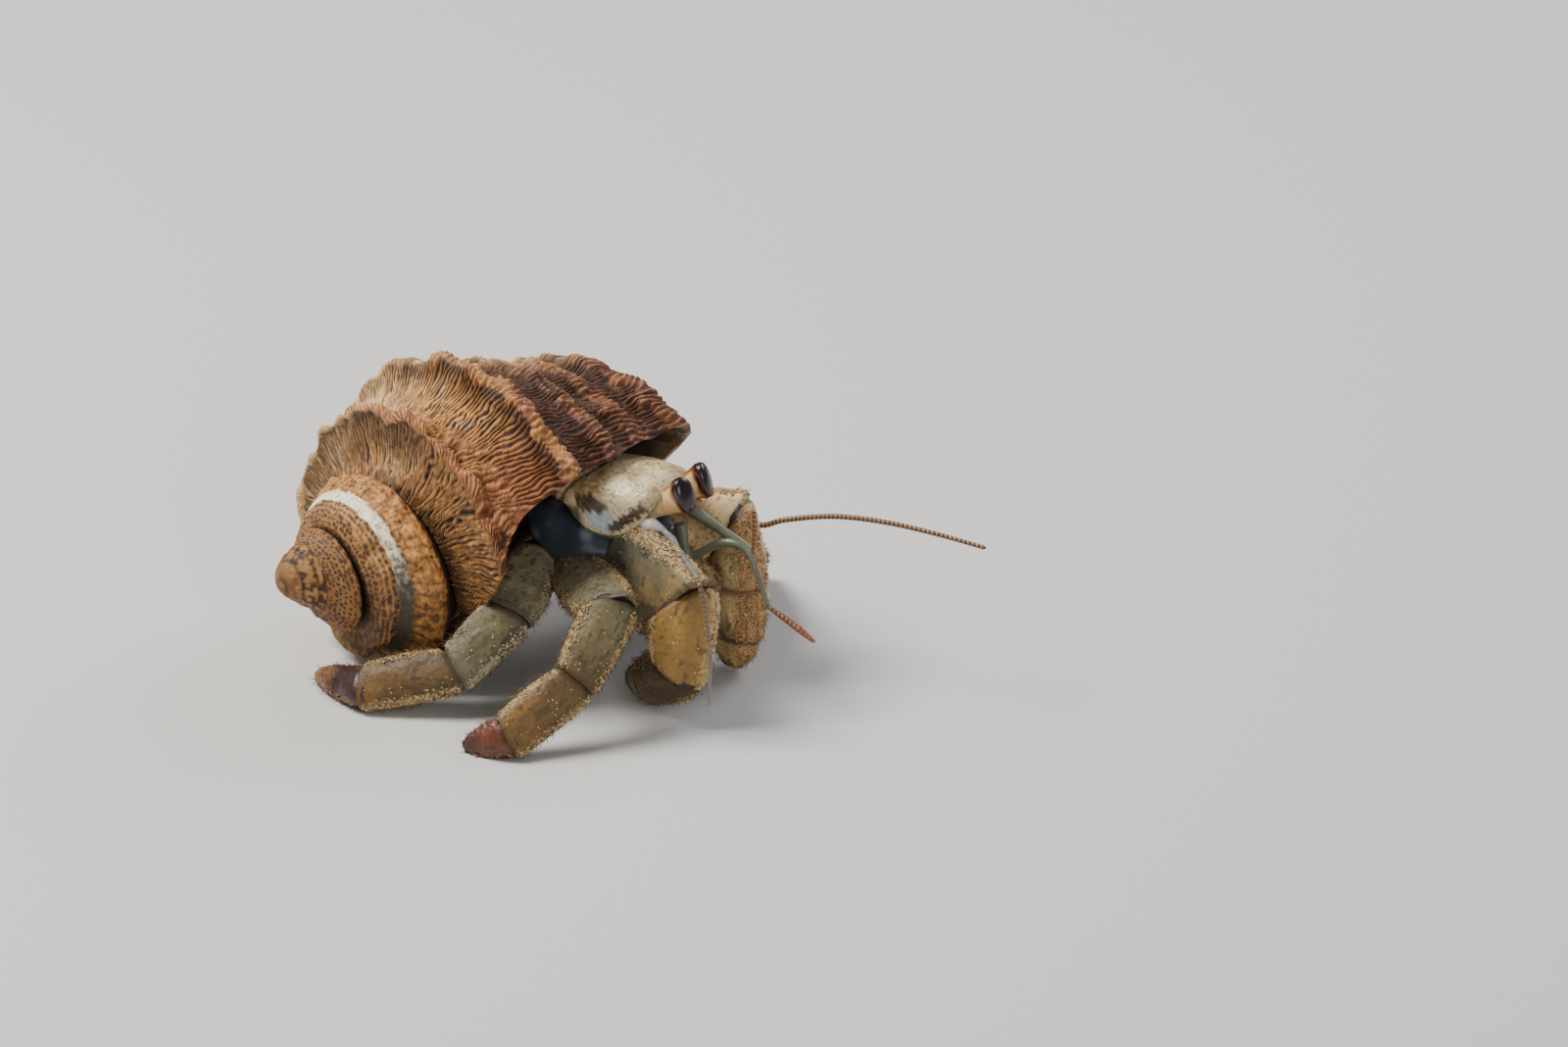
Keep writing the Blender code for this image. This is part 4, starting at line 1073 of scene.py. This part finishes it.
def granules(limb, index, count, generator, pale, dark):
    """Corners, tints and roots of warts: squashed icosahedra sunk to their middles."""
    here, normals, part, turn_round, share = seats_on(limb, index, count, generator, 0.07)
    size = generator.uniform(*GRANULE_SIZE, len(here)) * (0.75 + 0.45 * share)
    corners = here[:, None] + ICOSAHEDRON[None] * size[:, None, None]
    height = np.sum((corners - here[:, None]) * normals[:, None], axis=-1)
    corners = corners - normals[:, None] * (height * 0.25)[..., None]
    height = height / size[:, None]
    shade = mix(dark, pale, ease(height, -0.6, 0.9))
    shade = shade * generator.uniform(0.65, 1.2, (len(here), 1, 1))
    return corners, shade, map_roots(index, part, turn_round)


def spikes(here, normals, way, lengths, width, generator, tint):
    """Corners and tints of bristles: three-sided spikes that bend from the normal to the way."""
    lean = normals + way * generator.uniform(0.3, 1.1, (len(here), 1))
    lean = unit(lean + generator.normal(0.0, 0.28, here.shape))
    side = unit(np.cross(lean, normals + 1e-3))
    other = np.cross(lean, side)
    corners = []
    for rise, breadth in ((-0.12, 1.0), (0.5, 0.75)):
        for turn_round in SPIKE_TURNS:
            round_way = side * math.cos(turn_round) + other * math.sin(turn_round)
            corners.append(here + lean * (lengths * rise)[:, None] + round_way * (width * breadth))
    corners.append(here + lean * lengths[:, None] + way * (lengths * 0.22)[:, None])
    corners = np.stack(corners, axis=1)
    shade = np.broadcast_to(tint, corners.shape) * generator.uniform(0.6, 1.5, (len(here), 1, 1))
    return corners, shade


BRISTLE_BROWN = colour_of(74, 52, 34)
BRISTLE_GOLD = colour_of(150, 112, 66)
WART = grained("wart", 0.38, grain=3000.0, contrast=0.3, bump=0.1)
BRISTLE = grained("bristle", 0.5, grain=2000.0, contrast=0.2, bump=0.0)
for limb_number, (limb_name, limb) in enumerate(LIMBS.items()):
    generator = np.random.default_rng(400 + limb_number)
    wart_sets = []
    hair_sets = []
    for index in range(len(limb[0]) - 1):
        margin, wart_share, hair_share = limb[3][index][2:]
        way, _, _, length = segment_frame(limb[0], limb[1], index)[1:5]
        half_size = np.mean(limb[2][index])
        wart_count = int(GRANULE_CROWD * length * half_size * wart_share)
        pale = mix(margin, CLAW_CREAM, 0.28)
        wart_sets.append(granules(limb, index, wart_count, generator, pale, margin * 0.25))
        hair_count = int(BRISTLE_CROWD * length * half_size * hair_share)
        here, normals, part, turn_round, share = seats_on(limb, index, hair_count, generator, 0.12)
        lengths = generator.uniform(*BRISTLE_LENGTH, len(here)) * (0.45 + 0.55 * share)
        gold = generator.uniform(0.0, 1.0, (len(here), 1, 1))
        corners, shade = spikes(here, normals, way, lengths, BRISTLE_WIDTH, generator, BRISTLE_BROWN)
        shade = shade + 0.8 * gold * (BRISTLE_GOLD - BRISTLE_BROWN)
        hair_sets.append((corners, shade, map_roots(index, part, turn_round)))
    for kind, sets, faces, material in (
        ("granules", wart_sets, ICOSAHEDRON_FACES, WART), ("bristles", hair_sets, SPIKE_FACES, BRISTLE),
    ):
        corners, shade, roots = (np.concatenate(column) for column in zip(*sets))
        piece = coat_piece(f"{limb_name}_{kind}", corners, faces, shade, roots)
        seat_piece(piece, material, limb_slot(limb_name))

# ---------------------------------------------------------------- body, its hard shield
# The shield on the crab's back is one horny plate that arches over and hangs down each
# side as a cheek.  It is cream with fine brown specks, dark patches and a dark margin.
MIDDLE_SIDE = 1.5
SHIELD = (
    (4.4, 21.6, 1.0, 0.5), (3.7, 21.1, 3.2, 1.0), (1.8, 20.5, 4.6, 2.1), (-1.2, 20.1, 5.1, 2.7),
    (-4.4, 19.8, 5.3, 2.7), (-7.2, 19.4, 4.8, 2.2), (-9.0, 18.9, 3.0, 1.2),
)
CHEEK_MIDDLE = -1.9
CHEEK_REACH = 4.8
CHEEK_LOW = 16.4
CHEEK_RISE = 3.3
PLATE_THICKNESS = 0.5
DOME_SHARE = 0.62
GROOVE_BACK, GROOVE_BEND, GROOVE_HALF = 4.6, 0.10, 0.45
SHIELD_CREAM = colour_of(222, 204, 164)
SHIELD_TAN = colour_of(168, 138, 90)
SHIELD_OLIVE = colour_of(120, 108, 78)
PATCH_BROWN = colour_of(44, 22, 14)
PATCH_BLUE = colour_of(190, 208, 214)
STRIPE_PLACE = (0.7, 18.75)                # forward, height
STRIPE_WAY = (3.8 / 5.03, 3.3 / 5.03)
STRIPE_HALF, STRIPE_REACH = 0.78, 2.9


def shield_arc(stations, share, inset):
    """Section of the shield for shares from -1 to 1 of the way from cheek to cheek.

    The middle of the arc is half a superellipse; from its ends the cheeks hang down to a
    margin that rises towards the plate's front and back.
    """
    x, middle_height, half_width, half_height = np.moveaxis(stations, -1, 0)[..., None]
    turn_over = np.clip(share / DOME_SHARE, -1.0, 1.0) * math.pi / 2.0
    side = np.sign(share) * np.abs(np.sin(turn_over)) ** 0.83 * (half_width - inset)
    height = middle_height + np.abs(np.cos(turn_over)) ** 0.83 * (half_height - inset)
    hang = np.clip((np.abs(share) - DOME_SHARE) / (1.0 - DOME_SHARE), 0.0, 1.0)
    low = CHEEK_LOW + CHEEK_RISE * np.abs((x - CHEEK_MIDDLE) / CHEEK_REACH) ** 2.4
    low = np.minimum(low, middle_height - 0.05)
    height = height - hang * (middle_height - low)
    side = side * (1.0 - 0.10 * hang ** 1.6)
    return np.stack((x + 0.0 * side, MIDDLE_SIDE + side, height), axis=-1)


def closed_ends(grid, colours):
    """A grid of rings with the middle of its first ring before it and of its last ring after it."""
    ends = [np.broadcast_to(grid[row].mean(axis=0), (1, *grid[row].shape)) for row in (0, -1)]
    return np.concatenate((ends[0], grid, ends[1])), np.concatenate((colours[:1], colours, colours[-1:]))


stations = smooth_table(SHIELD, np.linspace(0.0, len(SHIELD) - 1.0, 120))
share = np.linspace(-1.0, 1.0, 150)[None, :]
plate_top = shield_arc(stations, share, 0.0)
plate_under = shield_arc(stations, share * 0.985, PLATE_THICKNESS)
coarse = lattice_noise(plate_top / 1.5, 61)
fine = lattice_noise(plate_top / 0.35, 62)
normals = grid_normals(plate_top, (0.0, 0.0, 1.0))
x_place, side_place, height_place = np.moveaxis(plate_top, -1, 0)
side_place = np.abs(side_place - MIDDLE_SIDE)
neck_groove = np.exp(-((x_place + GROOVE_BACK + GROOVE_BEND * side_place ** 2) / GROOVE_HALF) ** 2)
plate_top = plate_top + normals * (0.12 * coarse + 0.05 * fine - 0.35 * neck_groove)[..., None]
tint = mix(SHIELD_CREAM, SHIELD_TAN, ease(coarse + 0.5 * fine, -0.3, 1.0))
tint = mix(tint, SHIELD_OLIVE, 0.7 * ease(x_place, 1.5, 4.0))
tint = mix(tint, SHIELD_TAN, 0.8 * neck_groove)
specks = lattice_noise(plate_top / 0.22, 63) + 0.4 * lattice_noise(plate_top / 1.1, 64)
tint = mix(tint, SHIELD_TAN * 0.55, 0.75 * ease(specks, 0.30, 0.62))

# on each cheek a brown patch, a blue one below it, a slanting brown stripe before them with
# cream in front, and a brown rear corner
flank = ease(side_place, 3.2, 4.2)
hairs = noise_over(66, x_place * 5.0 + height_place * 2.0, height_place * 0.9)
brown = 1.0 - np.hypot((x_place + 3.4) / 1.9, (height_place - 20.0) / 1.1) + 0.25 * coarse + 0.35 * hairs
blue = 1.0 - np.hypot((x_place + 2.2) / 2.4, (height_place - 18.2) / 1.5) + 0.2 * coarse
stripe_x, stripe_height = x_place - STRIPE_PLACE[0], height_place - STRIPE_PLACE[1]
along_stripe = stripe_x * STRIPE_WAY[0] + stripe_height * STRIPE_WAY[1]
off_stripe = stripe_height * STRIPE_WAY[0] - stripe_x * STRIPE_WAY[1]
stripe = ease(STRIPE_HALF + 0.35 * hairs + 0.15 * fine - np.abs(off_stripe - 0.12), 0.0, 0.4)
stripe = stripe * ease(STRIPE_REACH - np.abs(along_stripe), 0.0, 0.8)
tint = mix(tint, SHIELD_CREAM, 0.8 * flank * ease(-off_stripe, 0.4, 0.9))
tint = mix(tint, PATCH_BLUE, 0.9 * flank * ease(blue, 0.0, 0.5))
tint = mix(tint, PATCH_BROWN, 0.9 * flank * ease(brown, 0.0, 0.5))
tint = mix(tint, PATCH_BROWN, 0.92 * flank * stripe)
rear = ease(-x_place, 3.8, 5.0) * ease(19.8 - height_place, 0.0, 0.8)
tint = mix(tint, PATCH_BROWN, 0.7 * flank * rear)
margin_line = ease(np.abs(share), 0.955, 0.975) * (1.0 - 0.7 * ease(np.abs(share), 0.985, 0.995))
tint = mix(tint, PATCH_BROWN, 0.85 * margin_line)
shield_grid = np.concatenate((plate_top, plate_under[:, ::-1]), axis=1)
shield_tint = np.concatenate((tint, np.broadcast_to(SHIELD_TAN, plate_under.shape)), axis=1)
shield_grid, shield_tint = closed_ends(shield_grid, shield_tint)
inside = shield_grid.copy()
inside[:, :, 1] = MIDDLE_SIDE + (inside[:, :, 1] - MIDDLE_SIDE) * 0.9
inside[:, :, 2] -= 1.0
piece = surface("shield_plate", shield_grid, shield_tint, around=True, outward=inside)
SHIELD_HORN = grained("shield_horn", 0.38, grain=2400.0, contrast=0.45, speck_scale=2600.0, speck_size=0.17,
                      speck=(0.10, 0.06, 0.03), bump=0.25, coat=0.15)
seat_piece(piece, SHIELD_HORN, "shield", "shield")

# ---------------------------------------------------------------- body, the thorax and abdomen
# Under the shield the thorax is a smooth slate-blue barrel.  Behind it the soft abdomen,
# one bare skin, fills the shell's hollow.
THORAX = (
    (3.6, 15.2, 2.0, 1.8), (1.4, 14.2, 3.6, 3.6), (-2.0, 13.6, 4.5, 4.4), (-5.6, 13.8, 4.7, 4.2),
    (-9.2, 14.4, 4.2, 3.6), (-12.0, 15.0, 2.6, 2.2),
)
SLATE = colour_of(58, 70, 82)
SLATE_HIGHLIGHT = colour_of(126, 142, 152)
BARREL_SHARE = 0.96        # of the sizes above, which leaves room for the folds
ABDOMEN_SIZE = 0.90        # of the shell's hollow
ABDOMEN_TURNS = (30.0, 186.0)
FLESH_PINK = colour_of(150, 98, 80)
stations = smooth_table(THORAX, np.linspace(0.0, len(THORAX) - 1.0, 90))
turns = np.linspace(0.0, 2.0 * np.pi, 110, endpoint=False)[None, :]
flat, tall = superellipse(turns, 1.0 / 1.2)
lengthwise, middle_height, half_width, half_height = np.moveaxis(stations, -1, 0)[..., None]
barrel = np.stack(np.broadcast_arrays(
    lengthwise,
    MIDDLE_SIDE + half_width * flat * BARREL_SHARE,
    middle_height + half_height * tall * BARREL_SHARE,
), axis=-1)
folds = lattice_noise(barrel / np.array((2.2, 2.5, 1.8)), 71)
# lighter on the raised folds as painted highlight, darker in the sunk ones as painted shade
barrel_tint = mix(SLATE, SLATE_HIGHLIGHT, ease(folds, 0.1, 0.9))
barrel_tint = mix(barrel_tint, GROOVE_DARK, 0.4 * ease(-folds, 0.3, 0.9))
away = unit(barrel - barrel.mean(axis=1, keepdims=True))
barrel = barrel + away * (0.15 * folds)[..., None]
barrel, barrel_tint = closed_ends(barrel, barrel_tint)
barrel_middle = np.array((-4.0, MIDDLE_SIDE, 14.0))
piece = surface("thorax_barrel", barrel, barrel_tint, around=True, outward=barrel_middle)
slate_skin = grained("slate_skin", 0.3, grain=1500.0, contrast=0.4, bump=0.15, coat=0.3)
seat_piece(piece, slate_skin, "body_grey", "thorax")

number = np.linspace(0.0, RIM_PLACES, 72, endpoint=False)
rings = [hollow_ring(number, turn_back, ABDOMEN_SIZE) for turn_back in np.linspace(*ABDOMEN_TURNS, 60)]
belly = closed_ends(np.array(rings), np.array(rings))[0]
# the flesh is darkened unevenly with the hollow's painted shadow
piece = tube("abdomen_skin", belly, mix(FLESH_PINK, HOLLOW_SHADOW, 0.5 + 0.4 * lattice_noise(belly / 2.0, 81)))
seat_piece(piece, grained("flesh_skin", 0.45, grain=1200.0, contrast=0.3, bump=0.2), "flesh", "abdomen")

# ---------------------------------------------------------------- eyes
# Each stalk is a flat cream horn that widens to the eye, with an orange edge and a dark
# rim.  The cornea is a smooth, wet, nearly black oval dome.
EYE_ACROSS = (-0.1, 1.0, 0.0)
EYE_SIZES = (((0.85, 1.1), (1.05, 1.45), (1.28, 1.92)), ((1.1, 1.8), (1.3, 1.8), (0.6, 1.1)))
EYE_JOINTS = np.array(((2.6, -0.4, 19.6), (6.1, -0.7, 21.85), (7.3, -1.05, 22.25)))
STALK_CREAM = colour_of(232, 204, 156)
STALK_PEACH = colour_of(222, 172, 110)
STALK_ORANGE = colour_of(140, 68, 26)
RIM_BROWN = colour_of(52, 18, 12)
CORNEA = colour_of(30, 16, 18)
CORNEA_HIGHLIGHT = colour_of(50, 34, 36)
CORNEA_REACH = 0.62
CORNEA_HALVES = (1.22, 1.80)
stalk_horn = grained("stalk_horn", 0.28, grain=1800.0, contrast=0.25, bump=0.08, coat=0.4)
cornea_gloss = grained("cornea_gloss", 0.24, grain=1500.0, contrast=0.2, bump=0.0, coat=0.25)
for side in ("right", "left"):
    joints = EYE_JOINTS.copy()
    if side == "left":
        joints[:, 1] = 2.0 * MIDDLE_SIDE - joints[:, 1]
    eye = (joints, EYE_ACROSS, EYE_SIZES, None)
    part = np.linspace(-0.24, 1.0, 70)[:, None]
    turns = np.linspace(0.0, 2.0 * np.pi, 80, endpoint=False)[None, :]
    stalk = segment_points(eye, 0, np.clip(part, 0.0, 1.0), turns)
    start, way, thin, deep, length = segment_frame(joints, EYE_ACROSS, 0)[:5]
    stalk = stalk + way * np.minimum(part, 0.0)[..., None] * length
    edge_share = np.abs(np.sin(turns)) ** 0.8
    grain = lattice_noise(stalk / 0.8, 91)
    tint = mix(STALK_CREAM, STALK_PEACH, ease(part + 0.3 * grain, 0.1, 0.6))
    tint = mix(tint, STALK_CREAM * 1.05, ease(part + 0.2 * grain, 0.55, 0.8) * (1.0 - edge_share) ** 0.5)
    tint = mix(tint, STALK_ORANGE, 0.9 * ease(edge_share + 0.12 * grain, 0.78, 0.95))
    tint = mix(tint, STALK_ORANGE * 0.8, 0.8 * ease(part + 0.06 * grain, 0.74, 0.90))
    tint = mix(tint, RIM_BROWN, ease(part + 0.04 * grain, 0.86, 0.95))
    stalk, tint = closed_ends(stalk, tint)
    piece = tube(f"eyestalk_{side}_horn", stalk, tint)
    seat_piece(piece, stalk_horn, "eyestalk", f"eyestalk_{side}")

    start, way, thin, deep, length = segment_frame(joints, EYE_ACROSS, 1)[:5]
    rise = np.sin(np.linspace(0.0, math.pi / 2.0, 40))[:, None]
    shrink = np.sqrt(np.maximum(1.0 - rise ** 2.3, 0.0))
    flat, tall = superellipse(turns, 0.9)
    dome = start + way * (rise * CORNEA_REACH - 0.1)[..., None]
    dome = dome + thin * (flat * CORNEA_HALVES[0] * shrink)[..., None]
    dome = dome + deep * (tall * CORNEA_HALVES[1] * shrink)[..., None]
    base_ring = dome[:1] - way * 0.5
    pole_ring = np.broadcast_to(base_ring.mean(axis=1, keepdims=True), base_ring.shape)
    dome = np.concatenate((pole_ring, base_ring, dome))
    rise = np.concatenate(((0.0,), (0.0,), rise[:, 0]))[:, None] + 0.0 * turns
    tint = mix(RIM_BROWN, CORNEA, ease(rise, 0.10, 0.30))
    # a dim painted highlight on the dome's crown
    tint = mix(tint, CORNEA_HIGHLIGHT, 0.35 * ease(rise, 0.75, 1.0))
    piece = tube(f"eye_{side}_cornea", dome, tint)
    seat_piece(piece, cornea_gloss, "cornea", f"eye_{side}")

# ---------------------------------------------------------------- feelers
# Two long antennae leave the head under the eyes from pale swollen bases, each with a thin
# ringed lash.  Two antennules, bent at an elbow, end in a short brown brush.
FEELER_GREEN = colour_of(100, 104, 84)
FEELER_BLUE = colour_of(112, 118, 112)
BULB_WHITE = colour_of(188, 180, 176)
LASH_BROWN = colour_of(74, 42, 28)
LASH_TAN = colour_of(150, 112, 70)
RING_STEP, RING_DEPTH = 0.5, 0.24  # millimetres, share of the radius
# name, places, radii along it, near and far colour, share of ringing
FEELERS = (
    ("antenna_right_stem",
     ((1.6, -2.0, 18.2), (3.4, -2.5, 18.4), (4.9, -2.6, 18.0), (8.6, -6.0, 17.6), (12.2, -9.4, 17.2)),
     (0.6, 0.85, 0.34, 0.46, 0.30, 0.32, 0.27, 0.25, 0.24), BULB_WHITE, FEELER_BLUE, 0.0),
    ("antenna_right_lash",
     ((12.0, -9.3, 17.2), (12.8, -10.0, 16.5), (13.6, -10.6, 14.6), (14.4, -11.0, 10.6),
      (14.4, -11.0, 6.2), (13.6, -9.6, 3.4)),
     (0.26, 0.22, 0.2, 0.16), LASH_BROWN, FEELER_BLUE, 0.6),
    ("antenna_left_stem",
     ((1.6, 5.0, 18.2), (2.6, 9.0, 18.0), (5.4, 11.6, 15.6)),
     (0.8, 1.1, 0.62, 0.72, 0.52, 0.6, 0.5, 0.45), BULB_WHITE, FEELER_BLUE, 0.0),
    ("antenna_left_lash",
     ((5.6, 11.8, 15.3), (7.9, 11.7, 14.0), (11.1, 11.4, 15.3), (16.7, 11.3, 16.9),
      (22.5, 11.3, 17.5), (28.0, 11.6, 17.3), (34.0, 12.0, 16.7)),
     (0.30, 0.28, 0.26, 0.22), LASH_BROWN, LASH_BROWN * 0.8, 1.0),
    ("antennule_right_stem",
     ((4.8, 0.5, 18.0), (5.8, 0.6, 14.6), (9.7, 0.9, 16.6), (12.1, 0.9, 16.4), (14.8, 0.9, 10.6)),
     (0.75, 0.55, 0.42, 0.45, 0.5, 0.36, 0.30, 0.28, 0.24), FEELER_GREEN, FEELER_GREEN, 0.0),
    ("antennule_right_lash",
     ((14.7, 0.9, 10.6), (17.6, 0.9, 9.2), (20.2, 0.9, 7.7)),
     (0.22, 0.34, 0.38, 0.20), LASH_BROWN * 1.2, STALK_ORANGE, 0.8),
    ("antennule_left_stem",
     ((4.9, 2.5, 18.8), (8.0, 2.5, 17.4), (11.4, 2.5, 15.8), (12.2, 2.5, 15.4)),
     (0.7, 0.6, 0.5, 0.55, 0.4), FEELER_GREEN, FEELER_GREEN, 0.0),
    ("antennule_left_lash",
     ((12.2, 2.5, 15.2), (12.4, 2.5, 17.6), (12.3, 2.5, 20.1)),
     (0.20, 0.28, 0.28, 0.22), STALK_ORANGE, LASH_BROWN, 0.8),
)
feeler_horn = grained("feeler_horn", 0.32, grain=1800.0, contrast=0.3, bump=0.1, coat=0.2)
for name, places, radii, near, far, ringing in FEELERS:
    line = smooth_table(places, np.linspace(0.0, len(places) - 1.0, 900))
    walked = np.concatenate(([0.0], np.cumsum(np.linalg.norm(np.diff(line, axis=0), axis=1))))
    whole = walked[-1]
    reach = np.linspace(0.0, whole, int(np.clip(whole / 0.07, 80, 520)))
    line = np.stack([np.interp(reach, walked, line[:, axis]) for axis in range(3)], axis=-1)
    ways = unit(np.gradient(line, axis=0))
    upright = "lash" in name and name != "antennule_left_lash"
    first = unit(np.cross(ways, (0.0, 0.3, 1.0) if upright else (0.2, 1.0, 0.1)))
    second = np.cross(ways, first)
    radius = np.interp(reach / whole, np.linspace(0.0, 1.0, len(radii)), radii)
    ring = 0.5 + 0.5 * np.cos(2.0 * np.pi * reach / RING_STEP)
    radius = radius * (1.0 + RING_DEPTH * ringing * (ring - 0.5))
    radius = radius * np.sqrt(np.clip(np.minimum(reach, whole - reach) / 0.25, 0.02, 1.0))
    turns = np.linspace(0.0, 2.0 * np.pi, 20, endpoint=False)[:, None]
    arm = first[:, None] * np.cos(turns) + second[:, None] * np.sin(turns)
    grid = line[:, None] + arm * radius[:, None, None]
    part = (reach / whole)[:, None]
    tint = mix(near, far, part if ringing else ease(part, 0.10, 0.35))
    if ringing:
        tint = mix(tint, LASH_TAN, 0.8 * ringing * ease(ring, 0.3, 0.7)[:, None])
    tint = tint * (1.0 + 0.15 * lattice_noise(grid / 0.7, 97))[..., None]
    grid, tint = closed_ends(grid, tint)
    piece = tube(name + "_horn", grid, tint)
    seat_piece(piece, feeler_horn, "feeler_lash" if "lash" in name else "feeler_stem", name)
